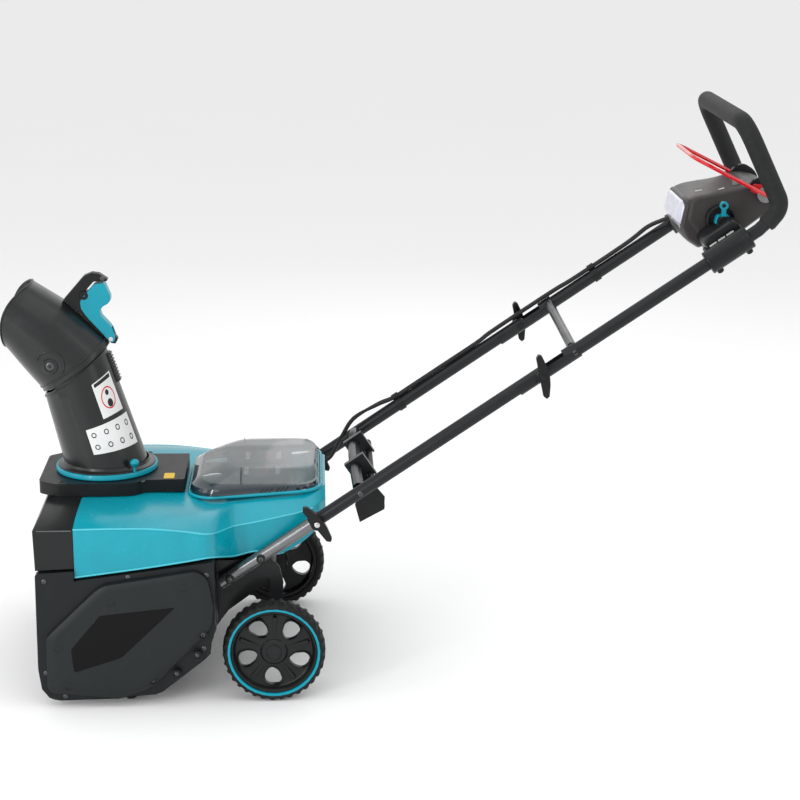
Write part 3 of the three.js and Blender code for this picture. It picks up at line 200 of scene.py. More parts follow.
def metal(name, base, rough, stretch=(8.0, 8.0, 8.0)):
    """Bare metal: streaks left by drawing or turning, with duller spots."""
    s = Sheet(name, Metallic=1.0)
    streak = s.noise(160.0, 4.0, 0.7, stretch)
    spot = s.noise(30.0, 4.0).clamp(0.5, 0.8)
    s.colour(s.mix(spot * 0.5, base, tuple(c * 0.6 for c in base)))
    s.roughness(streak * 0.16 + spot * 0.15 + rough - 0.08)
    return s.bump(streak, 0.00004)


def rubbery(name, base, rough, scale=420.0, depth=0.00012):
    """Rubber: matt, faintly chalky, with a pebbled skin."""
    s = Sheet(name, Specular_IOR_Level=0.25)
    chalk = s.noise(38.0, 5.0, 0.7).clamp(0.5, 0.8)
    s.colour(s.mix(chalk * 0.5, base, tuple(c * 1.7 + 0.008 for c in base)))
    s.roughness(chalk * 0.12 + rough - 0.05)
    return s.bump(s.noise(scale, 3.0) + s.cells(scale * 0.6) * 0.5, depth)


def clear_lid(name):
    """Smoked lid: clearer grey above, dark below the step, with a slight cloudiness."""
    s = Sheet(name, Coat_Weight=0.6, Coat_Roughness=0.05, IOR=1.49)
    z = s.axes()[2]
    upper = z.smooth(0.3765, 0.3795)
    cloud = s.noise(22.0, 4.0).clamp(0.3, 0.7)
    s.colour(s.mix(upper, s.mix(cloud, (0.006, 0.016, 0.024), (0.010, 0.026, 0.036)),
        s.mix(cloud, (0.14, 0.165, 0.17), (0.20, 0.225, 0.23))))
    s.roughness(cloud * 0.05 + upper * 0.05 + 0.06)
    s.feed(s.shader.inputs["Alpha"], 0.95 - upper * 0.47)
    return s.bump(s.noise(300.0, 2.0), 0.00003)


def lens_plastic(name):
    """Pale diffusing lens: fine upright flutes and a soft inner glow of its own colour."""
    s = Sheet(name, Coat_Weight=0.5, Coat_Roughness=0.08)
    x = s.axes()[0]
    flute = (x * 900.0).sin() * 0.5 + 0.5
    cloud = s.noise(40.0, 3.0).clamp(0.3, 0.7)
    s.colour(s.mix(cloud, (0.50, 0.50, 0.60), (0.66, 0.66, 0.74)))
    s.roughness(flute * 0.1 + 0.18)
    return s.bump(flute, 0.00025)


def foam_skin(name):
    """Closed-cell foam: tiny cells and a dull, slightly dusty skin."""
    s = Sheet(name, Specular_IOR_Level=0.3)
    dust = s.noise(60.0, 4.0).clamp(0.45, 0.8)
    s.colour(s.mix(dust, (0.009, 0.0095, 0.010), (0.018, 0.0185, 0.019)))
    s.roughness(dust * 0.1 + 0.62)
    return s.bump(s.cells(900.0) + s.noise(300.0, 3.0) * 0.6, 0.00022)


LOOK = {
    "teal": moulded("teal_plastic", (0.0, 0.31, 0.40), 0.25, 1100.0, 0.00003, coat=0.12, dust=0.1, shine=0.34),
    # A lighter, glossier teal for the beads along the body's crease and lower edge: a painted highlight.
    "teal_painted_highlight": moulded("teal_painted_highlight_bead", (0.05, 0.50, 0.60), 0.18, 900.0, 0.00001, coat=0.3, dust=0.0,
    shine=0.5),
    # A lighter, glossier black for the thin bead along the front hood's crease: a painted highlight.
    "black_painted_highlight": moulded("black_painted_highlight_bead", (0.075, 0.08, 0.085), 0.22, 900.0, 0.00001, coat=0.2, dust=0.0,
    shine=0.5),
    "teal_trim": moulded("teal_trim_plastic", (0.0, 0.30, 0.40), 0.34, 1100.0, 0.00004, coat=0.2, dust=0.15),
    "black": moulded("black_grained_plastic", (0.0075, 0.008, 0.0085), 0.38),
    "front": moulded("black_front_plastic", (0.008, 0.009, 0.0095), 0.32, 1000.0, 0.00005, coat=0.1),
    "panel": moulded("side_panel_plastic", (0.0065, 0.009, 0.010), 0.40, 1200.0, 0.00006),
    "cover": moulded("belt_cover_plastic", (0.012, 0.0155, 0.0165), 0.44, 900.0, 0.00009),
    "inlay": moulded("glossy_inlay", (0.0015, 0.0015, 0.002), 0.16, 300.0, 0.00001, coat=0.0, dust=0.05, shine=0.16),
    "chute": moulded("chute_plastic", (0.0085, 0.0095, 0.010), 0.30, 1100.0, 0.00005, coat=0.10, shine=0.4),
    "console": moulded("console_plastic", (0.040, 0.037, 0.036), 0.42, 1000.0, 0.00008),
    "console_dark": moulded("console_dark_plastic", (0.009, 0.010, 0.011), 0.34),
    "wheel": moulded("wheel_plastic", (0.007, 0.0075, 0.008), 0.30, 900.0, 0.00006, coat=0.1),
    "battery": moulded("battery_plastic", (0.02, 0.022, 0.024), 0.42),
    "tube": coated("gunmetal_tube_coat", (0.016, 0.018, 0.020), 0.30, 0.5),
    "rail_foot": coated("worn_rail_coat", (0.20, 0.205, 0.21), 0.28, 0.85),
    "plate": coated("frame_plate_coat", (0.010, 0.011, 0.012), 0.38, 0.3),
    "steel": metal("drawn_steel", (0.42, 0.42, 0.43), 0.30),
    "dark_fixing": metal("blackened_fixings", (0.10, 0.10, 0.105), 0.28),
    "bright": metal("bright_fixings", (0.60, 0.60, 0.61), 0.22),
    "tyre": rubbery("tyre_rubber", (0.0065, 0.0065, 0.007), 0.66),
    "belt": rubbery("belt_rubber", (0.014, 0.014, 0.014), 0.7),
    "paddle": rubbery("paddle_rubber", (0.018, 0.018, 0.019), 0.68, 260.0),
    "jacket": rubbery("cable_jacket", (0.008, 0.008, 0.009), 0.5, 700.0, 0.00006),
    "foam": foam_skin("foam_grip"),
    "red": moulded("red_coated_wire", (0.66, 0.004, 0.012), 0.22, 500.0, 0.00002, coat=0.3, dust=0.03, shine=0.45),
    "red_block": moulded("red_block_plastic", (0.42, 0.01, 0.015), 0.4),
    "lid": clear_lid("smoked_lid"),
    "lens": lens_plastic("lamp_lens"),
    "label": moulded("label_white", (0.78, 0.78, 0.77), 0.42, 600.0, 0.00001, dust=0.1),
    "label_red": moulded("label_red", (0.62, 0.03, 0.04), 0.42, 600.0, 0.00001, dust=0.1),
    "label_black": moulded("label_black", (0.02, 0.02, 0.02), 0.42, 600.0, 0.00001, dust=0.1),
    "label_yellow": moulded("label_yellow", (0.70, 0.47, 0.02), 0.42, 600.0, 0.00001, dust=0.1),
    "grey_disc": moulded("grey_cap_plastic", (0.20, 0.20, 0.21), 0.5),
}


# ---------------- surfaces
def mesh_object(name, points, faces):
    """An object made of points in metres and faces."""
    data = bpy.data.meshes.new(name)
    data.from_pydata(np.asarray(points, float).tolist(), [], faces)
    data.validate()
    made = bpy.data.objects.new(name, data)
    bpy.context.scene.collection.objects.link(made)
    return made


def grid_object(name, grid, loop_u=False, loop_v=True, caps=True):
    """A surface through an array of points grid[u, v]; it may close on itself along u or v, and open ends
    along u are capped by flat faces."""
    grid = np.asarray(grid, float)
    n, m = grid.shape[:2]
    u = np.arange(n if loop_u else n - 1)[:, None]
    v = np.arange(m if loop_v else m - 1)[None, :]
    a = u * m + v
    b = u * m + (v + 1) % m
    c = ((u + 1) % n) * m + (v + 1) % m
    d = ((u + 1) % n) * m + v
    faces = np.stack([a + 0 * b, b, c, d], -1).reshape(-1, 4).tolist()
    if caps and not loop_u and loop_v:
        faces.append(list(range(m))[::-1])
        faces.append(list(range((n - 1) * m, n * m)))
    return mesh_object(name, place(grid.reshape(-1, 3)), faces)


def tidy(obj, sharp=34.0):
    """Merges doubles, points the faces out and shades smooth, with edges over the angle kept sharp."""
    bm = bmesh.new()
    bm.from_mesh(obj.data)
    bmesh.ops.remove_doubles(bm, verts=bm.verts, dist=1e-6)
    bmesh.ops.recalc_face_normals(bm, faces=bm.faces)
    limit = math.radians(sharp)
    for edge in bm.edges:
        edge.smooth = not (edge.is_manifold and edge.calc_face_angle(0.0) > limit)
    for face in bm.faces:
        face.smooth = True
    bm.to_mesh(obj.data)
    bm.free()
    return obj


def finish(obj, look, body, sharp=34.0, bevel=0.0, segments=2, stands_for=()):
    """Shades an object, gives it its look, rounds its edges and puts it on its body."""
    tidy(obj, sharp)
    obj.data.materials.clear()
    obj.data.materials.append(LOOK[look].material)
    if bevel:
        edge = obj.modifiers.new("edge", "BEVEL")
        edge.width = bevel / 1000
        edge.segments = segments
        edge.limit_method = "ANGLE"
        edge.angle_limit = math.radians(sharp)
        edge.harden_normals = True
    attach(obj, body)
    if stands_for:
        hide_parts(*stands_for)
    return obj


def film(obj, look, body, thick, offset=0):
    """Gives an open surface its look, a thickness in metres and its body."""
    obj.data.materials.append(LOOK[look].material)
    thicken = obj.modifiers.new("thick", "SOLIDIFY")
    thicken.thickness, thicken.offset = thick, offset
    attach(obj, body)
    return obj


def body_of(node):
    """The body that a CAD node rides on."""
    return NODES[node]["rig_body"]


def dressed(node, look, bevel=1.2, segments=2, sharp=32.0, flatten=1.0):
    """A copy of a CAD node with its flat faces joined up and its edges rounded."""
    data = NODES[node].data.copy()
    made = bpy.data.objects.new(node + "_skin", data)
    bpy.context.scene.collection.objects.link(made)
    bm = bmesh.new()
    bm.from_mesh(data)
    bmesh.ops.remove_doubles(bm, verts=bm.verts, dist=1e-6)
    bmesh.ops.dissolve_limit(bm, angle_limit=math.radians(flatten), verts=bm.verts, edges=bm.edges)
    bm.to_mesh(data)
    bm.free()
    return finish(made, look, body_of(node), sharp, bevel, segments, (node,))


def circle(count):
    """Cosines and sines of evenly spaced angles round a full turn."""
    turn = np.arange(count) / count * TAU
    return np.cos(turn), np.sin(turn)


def lathe_x(name, profile, y, z, sides=96):
    """A profile of (radius, x) turned about the line through (y, z) along X; the profile closes on itself."""
    c, s = circle(sides)
    p = np.asarray(profile, float)
    grid = np.stack([np.broadcast_to(p[:, 1:2], (len(p), sides)), y + p[:, :1] * c, z + p[:, :1] * s], -1)
    return grid_object(name, grid, loop_u=True)


def lathe_z(name, profile, x, y, sides=96):
    """A profile of (radius, z) turned about an upright line; the profile closes on itself."""
    c, s = circle(sides)
    p = np.asarray(profile, float)
    grid = np.stack([x + p[:, :1] * c, y + p[:, :1] * s, np.broadcast_to(p[:, 1:2], (len(p), sides))], -1)
    return grid_object(name, grid, loop_u=True)


def routed(points, reach, steps=10):
    """A polyline whose corners become parabolas that start the reach before each corner."""
    p = np.asarray(points, float)
    out = [p[:1]]
    t = np.linspace(0, 1, steps)[:, None]
    for i in range(1, len(p) - 1):
        back, on = p[i - 1] - p[i], p[i + 1] - p[i]
        r = min(reach, np.linalg.norm(back) * 0.48, np.linalg.norm(on) * 0.48)
        a, b = p[i] + back / np.linalg.norm(back) * r, p[i] + on / np.linalg.norm(on) * r
        out.append((1 - t) ** 2 * a + 2 * t * (1 - t) * p[i] + t ** 2 * b)
    out.append(p[-1:])
    return np.concatenate(out)


def flowing(points, count):
    """A Catmull-Rom curve through the points, sampled evenly in its parameter."""
    p = np.asarray(points, float)
    p = np.concatenate([2 * p[:1] - p[1:2], p, 2 * p[-1:] - p[-2:-1]])
    t = np.linspace(0, len(p) - 3 - 1e-6, count)
    i = t.astype(int)
    f = (t - i)[:, None]
    a, b, c, d = p[i], p[i + 1], p[i + 2], p[i + 3]
    return 0.5 * (2 * b + (c - a) * f + (2 * a - 5 * b + 4 * c - d) * f ** 2 + (3 * b - a - 3 * c + d) * f ** 3)


def swept(name, path, radius, sides=28, bore=None, squash=1.0):
    """A round section carried along a path: each station's frame is turned from the last by the least turn.
    The radius may be one number or one for each station."""
    p = np.asarray(path, float)
    tangent = np.gradient(p, axis=0)
    tangent /= np.linalg.norm(tangent, axis=1)[:, None]
    side = np.empty_like(p)
    start = np.cross(tangent[0], [0.0, 0.3, 1.0])
    if np.linalg.norm(start) < 1e-3:
        start = np.cross(tangent[0], [1.0, 0.0, 0.0])
    side[0] = start / np.linalg.norm(start)
    for i in range(1, len(p)):
        v = side[i - 1] - tangent[i] * (side[i - 1] @ tangent[i])
        side[i] = v / np.linalg.norm(v)
    up = np.cross(tangent, side)
    c, s = circle(sides)

    def rings(r):
        r = np.broadcast_to(np.asarray(r, float), (len(p),))[:, None, None]
        return p[:, None] + r * (side[:, None] * c[None, :, None] + squash * up[:, None] * s[None, :, None])

    if bore is None:
        return grid_object(name, rings(radius))
    return grid_object(name, np.concatenate([rings(radius), rings(bore)[::-1]]), loop_u=True)


def rounded(points, radius, steps=5):
    """A closed outline whose corners are rounded; a point may carry its own radius."""
    out = []
    t = np.linspace(0, 1, steps)[:, None]
    n = len(points)
    for i in range(n):
        corner = np.array(points[i][:2], float)
        last, following = np.array(points[i - 1][:2], float) - corner, np.array(points[(i + 1) % n][:2],
            float) - corner
        own = points[i][2] if len(points[i]) > 2 else radius
        r = min(own, np.linalg.norm(last) * 0.45, np.linalg.norm(following) * 0.45)
        if r < 0.05:
            out.append(corner[None])
            continue
        a, b = corner + last / np.linalg.norm(last) * r, corner + following / np.linalg.norm(following) * r
        out.append((1 - t) ** 2 * a + 2 * t * (1 - t) * corner + t ** 2 * b)
    return np.concatenate(out)


def slab_x(name, outline, x0, x1):
    """An outline in Y and Z pushed along X."""
    o = np.asarray(outline, float)
    grid = np.stack([np.column_stack([np.full(len(o), x), o]) for x in (x0, x1)])
    return grid_object(name, grid)


def level(outline, heights):
    """An outline in X and Y repeated at each height, as a grid."""
    return np.stack([np.column_stack([outline, np.full(len(outline), z)]) for z in heights])


def joined(name, parts):
    """Separate meshes made into one object."""
    bm = bmesh.new()
    for item in parts:
        bm.from_mesh(item.data)
        bpy.data.objects.remove(item)
    data = bpy.data.meshes.new(name)
    bm.to_mesh(data)
    bm.free()
    made = bpy.data.objects.new(name, data)
    bpy.context.scene.collection.objects.link(made)
    return made


def carved(base, *tools):
    """Cuts the tools out of the base and removes them."""
    for tool in tools:
        tidy(tool)
        cut = base.modifiers.new("cut", "BOOLEAN")
        cut.operation, cut.solver, cut.object = "DIFFERENCE", "EXACT", tool
    tidy(base)
    bpy.context.view_layer.update()
    done = bpy.data.meshes.new_from_object(base.evaluated_get(bpy.context.evaluated_depsgraph_get()))
    base.modifiers.clear()
    base.data = done
    for tool in tools:
        bpy.data.objects.remove(tool)
    return base


def screw(name, at, normal, radius, body, look="bright", height=1.6, recess=True):
    """A pan-head screw: a domed head with a six-lobed socket sunk in its middle."""
    n = np.array(normal, float)
    n /= np.linalg.norm(n)
    a = np.cross(n, [0.2, 1.0, 0.3])
    a /= np.linalg.norm(a)
    b = np.cross(n, a)
    c, s = circle(24)
    lobe = 1 + 0.16 * np.cos(6 * np.arange(24) / 24 * TAU)
    steps = [(1.0, -0.4, 0), (1.0, 0.35, 0), (0.86, 0.8, 0), (0.6, 1.0, 0), (0.42, 1.0, 1),
        (0.38, 0.25, 1)] if recess else [(1.0, -0.4, 0), (1.0, 0.5, 0), (0.85, 0.9, 0), (0.5, 1.0, 0)]
    rings = [np.array(at) + n * height * h + radius * r * (a * (c * (lobe if w else 1))[:,
        None] + b * (s * (lobe if w else 1))[:, None]) for r, h, w in steps]
    return finish(grid_object(name, np.array(rings)), look, body, 40)


SIDES = ((1, "left"), (-1, "right"))
SLOPE = math.radians(33.9)  # of the handle rails
RAIL_X = 200.0  # the rails' distance from the middle
FOLD = 495.0  # from the lower fold to the upper one, along the rail
KNOB_LENGTH = 16
WHEEL_X, WHEEL_Z = 250, 95
CHUTE_Y = -321
PIVOT_Y, PIVOT_Z = -412, 596  # the hood's pins


def on_rail(s, x=RAIL_X, off=0.0):
    """A point at a distance up the handle rail from the lower fold, and off it at right angles."""
    return np.array([x, 82 + s * math.cos(SLOPE) - off * math.sin(SLOPE),
        329 + s * math.sin(SLOPE) + off * math.cos(SLOPE)])


# ---------------- wheels
def tyre(side):
    """The tread's radius falls by a groove depth between slanted blocks; the blocks shift across the middle."""
    n = 360
    h = np.array([-20, -21, -20.5, -18, -15, -10, -4, -1, 1, 4, 10, 15, 18, 20.5, 21, 20.4])
    r = np.array([82, 86, 89, 93, 94.6, 95, 95, 95, 95, 95, 95, 94.6, 93, 89, 87.2, 86.8])
    turn = np.arange(n) / n * TAU
    shift = np.where(h < 0, 0.5, 0.0)
    phase = (turn[None] * 34 / TAU + shift[:, None] + np.abs(h[:, None]) * 0.018) % 1.0
    block = np.clip((np.abs(phase - 0.5) - 0.17) / 0.05, 0, 1)
    depth = np.interp(np.abs(h), [0, 3, 5, 17, 20, 21], [0.4, 0.6, 2.6, 2.8, 1.6, 0.0])
    radius = r[:, None] - depth[:, None] * block
    inner = np.array([[80.4, 16.3], [80.4, -20]])
    radius = np.concatenate([radius, np.broadcast_to(inner[:, :1], (2, n))])
    x = np.concatenate([h, inner[:, 1]])[:, None] + 0 * turn[None]
    grid = np.stack([side * (WHEEL_X + x), radius * np.cos(turn), WHEEL_Z + radius * np.sin(turn)], -1)
    name = "left" if side > 0 else "right"
    finish(grid_object("tread_" + name, grid, loop_u=True), "tyre", "wheel_" + name, 40, stands_for=("tyre_" + name,))


def wheel(side):
    """The pierced disc with its raised window lips, the teal rim band, the hub cap and the ribs."""
    name = "left" if side > 0 else "right"
    body = "wheel_" + name
    x = lambda v: side * (WHEEL_X + v)
    dish = [[6.6, -20], [18, -20], [19.4, -17], [20, -4], [24, -3], [68, -3], [71, -6], [72, -16], [73, -17],
        [79, -17],
            [80, -16], [80, 15.6], [78.6, 16.6], [76, 16.2], [73.5, 13], [71, 8], [66, 5.4], [58, 5.6], [40, 7.4],
            [30, 8.6], [26, 9.2],
            [24.5, 10.6], [24, 13], [21.6, 15.4], [12, 16], [6.6, 16]]
    disc = lathe_x("dish_" + name, [[r, x(h)] for r, h in dish], 0, WHEEL_Z, 120)
    window = rounded([[31, -3, 5], [37, 9, 8], [55, 17, 9], [66, 12, 9], [68.5, -2, 9], [62, -15, 9], [46, -16, 9],
        [35, -10, 6]], 8, 7)
    tools, lips = [], []
    for i in range(5):
        a = (i + 0.72) / 5 * TAU
        turn = np.array([[math.cos(a), math.sin(a)], [-math.sin(a), math.cos(a)]])
        o = window @ turn
        tools.append(slab_x("window", o + [0, WHEEL_Z], x(-30), x(30)))
        mid = window.mean(0)
        grow = lambda k: ((window - mid) * k + mid) @ turn + [0, WHEEL_Z]
        rings = [(1.0, 3), (1.0, 9.2), (1.03, 10), (1.1, 9.6), (1.13, 7.4), (1.13, 3)]
        lips.append(grid_object("lip", np.stack([np.column_stack([np.full(len(o), x(h)), grow(k)]) for k,
            h in rings]), loop_u=True))
    finish(carved(disc, *tools), "wheel", body, 32, stands_for=("wheel_hub_" + name,))
    finish(joined("window_lips_" + name, lips), "wheel", body, 40)
    ring = [[80.3, 15.8], [80.3, 18.2], [81.2, 19.6], [83.4, 20.2], [85.4, 19.6], [86.2, 18.0], [86.2, 16.6],
        [85.6, 15.8]]
    finish(lathe_x("rim_band_" + name, [[r, x(h)] for r, h in ring], 0, WHEEL_Z, 120), "teal_trim", body, 40)
    cap = rounded([[16 * math.cos(a), 16 * math.sin(a)] for a in np.arange(5) / 5 * TAU + 0.3], 6, 6)
    rings = [(1.0, 15.6), (1.0, 18.0), (0.9, 19.4), (0.5, 19.9), (0.05, 20)]
    grid = np.stack([np.column_stack([np.full(len(cap), x(h)), cap * k + [0, WHEEL_Z]]) for k, h in rings])
    finish(grid_object("hub_cap_" + name, grid), "front", body, 30)
    ribs = []
    for i in range(5):
        a = (i + 0.22) / 5 * TAU
        along = np.array([math.cos(a), math.sin(a)])
        across = np.array([-along[1], along[0]])
        o = np.array([along * 24 - across * 2.2, along * 66 - across * 3.6, along * 66 + across * 3.6,
            along * 24 + across * 2.2])
        ribs.append(slab_x("rib", o + [0, WHEEL_Z], x(4), x(9.8)))
    finish(joined("spoke_ribs_" + name, ribs), "wheel", body, 30, bevel=1.2)


for side in (1, -1):
    tyre(side)
    wheel(side)

# ---------------- nodes that keep their shape, with rounded edges
for node, look, edge in (
        ("auger_housing", "black", 0.8), ("scraper_bar", "front", 1.2), ("side_plate_left", "plate", 0.8),
        ("side_plate_right", "plate", 0.8),
        ("side_cover_left", "panel", 3.0), ("side_cover_right", "panel", 3.0), ("rear_chassis", "front", 2.0),
        ("front_hood", "front", 4.5), ("top_cover", "black", 3.5), ("battery_left", "battery", 4.0),
        ("battery_right", "battery", 4.0),
        ("motor", "steel", 1.5), ("drive_belt", "belt", 0.6), ("axle", "steel", 0.8),
        ("auger_bearing_left", "bright", 0.5),
        ("auger_bearing_right", "bright", 0.5), ("axle_bracket_left", "plate", 0.8),
        ("axle_bracket_right", "plate", 0.8),
        ("lower_rail_left", "rail_foot", 0.8), ("lower_rail_right", "rail_foot", 0.8), ("auger_shaft", "steel", 1.0),
        ("auger_flight_left", "paddle", 1.0), ("auger_flight_right", "paddle", 1.0), ("auger_pulley", "black", 0.8),
        ("motor_rotor", "steel", 0.8),
        ("chute_tube", "chute", 0.7), ("chute_lock", "teal_trim", 1.8), ("deflector_bracket", "black", 2.2),
        ("deflector_trigger", "teal_trim", 2.4), ("middle_rail_left", "tube", 0.6),
        ("middle_rail_right", "tube", 0.6),
        ("lower_cross_bar", "tube", 0.6), ("clean_out_tool", "black", 1.6), ("lower_clamp_knob_left", "black", 1.4),
        ("lower_clamp_knob_right", "black", 1.4), ("upper_clamp_knob_left", "black", 1.4),
        ("upper_clamp_knob_right", "black", 1.4),
        ("upper_tube", "tube", 0.6), ("upper_cross_bar", "tube", 0.6),
        ("bail_lever", "red", 0.4), ("start_button", "grey_disc", 1.2),
        ("lock_lever_left", "teal_trim", 1.4), ("lock_lever_right", "teal_trim", 1.4)):
    dressed(node, look, edge, 3 if edge > 1.5 else 2, flatten=0.4 if node in ("chute_tube", "deflector_hood",
        "handle_grip", "bail_lever") else 1.0)


# ---------------- body shell
def body_shell():
    """Each station's section is a low arch with straight flanks, eased from one station to the next along Y;
    the same section set 3 mm inside closes the wall, then the battery bay and the chute hole are cut out."""
    stations = flowing([(-359, 350, 340, 247, 270), (-290, 350, 341, 256, 271), (-222, 350, 340, 265, 271),
        (-160, 348, 334, 274, 270),
                        (-112, 346, 326, 279, 262), (-74, 348, 316, 256, 190), (-34, 352, 322, 263, 185),
                        (10, 356, 331, 258, 184),
                        (52, 361, 338, 277, 176), (80, 368, 344, 298, 160), (98, 366, 350, 318, 132)], 91)
    rows = []
    for y, shoulder, crease, low, half in stations:
        ledge = half - min(56, half * 0.25)
        o = [(half, low, 1.2), (half, crease, 4), (ledge, shoulder, 26), (min(112, 0.7 * half), shoulder, 8),
            (-min(112, 0.7 * half), shoulder, 8),
             (-ledge, shoulder, 26), (-half, crease, 7), (-half, low, 1.2), (3 - half, low, 1.2),
             (3 - half, crease - 2, 4), (2 - ledge, shoulder - 3, 22),
             (ledge - 2, shoulder - 3, 22), (half - 3, crease - 2, 4), (half - 3, low, 1.2)]
        xz = rounded(o, 5, 7)
        rows.append(np.column_stack([xz[:, 0], np.full(len(xz), y), xz[:, 1]]))
    shell = grid_object("shell_skin", np.array(rows))
    bay = rounded([(-122, -146), (122, -146), (122, 64), (-122, 64)], 14, 6)
    box = grid_object("bay", level(bay, (300, 420)))
    c, s = circle(96)
    hole = grid_object("hole", level(np.column_stack([84 * c, 84 * s + CHUTE_Y]), (300, 420)))
    finish(carved(shell, box, hole), "teal", "chassis", 28, stands_for=("body_shell",))
    for side, name in SIDES:
        line = np.array([[side * (h + 0.2), y, low + 1.5] for y, _, _, low, h in stations[:66]])
        # Both beads are coloured lighter than the shell: a painted highlight along the crease and the lower edge.
        finish(swept("shell_lower_bead_" + name, line, 1.9, 12), "teal_painted_highlight", "chassis", 60)
        edge = np.array([[side * (h - 0.6), y, crease - 1.0] for y, _, crease, _, h in stations[:80]])
        finish(swept("shell_crease_bead_" + name, edge, 1.7, 12), "teal_painted_highlight", "chassis", 60)


body_shell()


# ---------------- chute and hood
def chute_point(t, v, lift=0.0):
    """The wall runs straight from the base circle to the tilted rim: centre, half depth and half width are
    each mixed by t, and the angle v goes round from the left side towards the rear."""
    w = 80 - 7.5 * t + lift
    grow = 1 + lift / 80
    cy, cz = CHUTE_Y - 54 * t, 387 + 186 * t
    ay, az = (80 - 22 * t) * grow, 47 * t * grow
    return np.stack([w * np.cos(v), cy + ay * np.sin(v), cz + az * np.sin(v)], -1)


def patch(name, surface, a, b, c, d, look, body, thick=0.25, n=14, m=18):
    """A thin label that lies on a surface between two values of each of its parameters."""
    t, v = np.meshgrid(np.linspace(a, b, n), np.linspace(c, d, m), indexing="ij")
    made = grid_object(name, surface(t, v), loop_v=False, caps=False)
    return film(made, look, body, thick / 1000)


deg = math.radians
on_chute = lambda lift: (lambda t, v: chute_point(t, v, lift))
patch("caution_label", on_chute(0.35), 0.50, 0.82, deg(26), deg(66), "label", "chute")
patch("caution_band", on_chute(0.6), 0.78, 0.81, deg(29), deg(63), "label_black", "chute")
patch("notice_label", on_chute(0.35), 0.20, 0.46, deg(-4), deg(72), "label", "chute")


def sign_ring(name, t0, v0, r0, r1, look, lift):
    """A flat ring wrapped on the wall: its radius is measured along the height and round the wall."""
    a, r = np.meshgrid(np.linspace(0, TAU, 41), np.linspace(r0, r1, 3), indexing="ij")
    made = grid_object(name, chute_point(t0 + r * np.sin(a) / 190, v0 + r * np.cos(a) / 78, lift), loop_v=False,
        caps=False)
    film(made, look, "chute", 0.0002)


sign_ring("caution_ring", 0.645, deg(46), 15.5, 17.6, "label_red", 0.62)
sign_ring("caution_spot", 0.69, deg(46), 0.3, 4.4, "label_black", 0.62)
sign_ring("caution_mark", 0.60, deg(46), 0.3, 6.6, "label_black", 0.62)
for row in range(2):
    for column in range(4):
        sign_ring("notice_ring_%d_%d" % (row, column), 0.27 + 0.12 * row, deg(5 + 19 * column), 3.2, 4.9,
            "label_black", 0.62)

collar = [[84, 377], [96, 377], [97, 378.4], [97, 385.2], [96, 386.8], [93.5, 387], [92.6, 386.4], [92.2, 384.2],
    [90, 384.2], [83.4, 384.2], [83.2, 378]]
finish(lathe_z("collar_ring", collar, 0, CHUTE_Y, 160), "teal_trim", "chassis", 34, stands_for=("chute_collar",))
finish(lathe_z("chute_foot", [[80, 386.8], [92.6, 386.8], [93, 387.6], [92, 389], [86, 389.4], [82.6, 391.5],
    [81.2, 396], [80, 396]], 0, CHUTE_Y, 140), "chute", "chute", 30)
rim_t, rim_v = np.meshgrid([0.972], np.linspace(0, TAU, 97)[:-1], indexing="ij")
rim = chute_point(rim_t, rim_v, 0.7)[0]
finish(swept("chute_rim_bead", np.concatenate([rim, rim[:1]]), 1.5, 10), "chute", "chute", 60)


def hood_point(t, v, lift=0.0):
    """Three tilted ovals, seam, middle and mouth; t runs from the first to the last along a smooth curve."""
    rings = np.array([(-438, 538, -310, 628, 77), (-471, 579, -387, 703, 76), (-501.2, 619, -448, 742, 74)], float)
    q = np.stack([np.interp(t, [0, 0.5, 1.0], rings[:, i]) for i in range(5)], -1)
    k = 0.5 + 0.5 * np.sin(v)
    y = q[..., 0] + (q[..., 2] - q[..., 0]) * k
    z = q[..., 1] + (q[..., 3] - q[..., 1]) * k
    return np.stack([(q[..., 4] + lift) * np.cos(v), y, z], -1)


_t, _v = np.meshgrid(np.linspace(0, 1, 160), np.linspace(-1.5, 1.5, 300), indexing="ij")
_hood = hood_point(_t, _v).reshape(-1, 3)


def on_hood(y, z, lift=0.0, side=1):
    """The point of the hood's flank over a given place in the side view."""
    near = _hood[np.argmin((_hood[:, 1] - y) ** 2 + (_hood[:, 2] - z) ** 2)]
    return np.array([side * (near[0] + lift), y, z])


def hood_skin():
    """The same ovals, whose far edge bows forward at the flanks by a squared cosine; outside, then 3 mm inside,
    then a short skirt under the seam."""
    v = np.linspace(0, TAU, 145)[:-1]
    out = np.linspace(0, 1, 40)[:, None]
    reach = 1 + 0.2 * np.cos(v)[None] ** 2
    swell = 2.2 * np.sin(np.pi * out)
    outer = hood_point(np.minimum(out * reach, 1.0), v[None] + 0 * out, swell)
    beyond = np.maximum(out * reach - 1.0, 0.0)[..., None]
    outer = outer + beyond * np.stack([0 * v, -95 + 0 * v, 79 + 0 * v], -1)[None]
    mid = outer.mean(1, keepdims=True)
    inner = mid + (outer - mid) * (1 - 3.0 / 76)
    skirt = [(inner[0] + outer[0]) / 2 + [0, 1.7, -5.4], outer[0] + [0, 1.9, -6.0]]
    grid = np.concatenate([outer, inner[::-1], np.array(skirt)])
    return grid_object("hood_skin", grid, loop_u=True)


finish(hood_skin(), "chute", "deflector", 40, stands_for=("deflector_hood",))


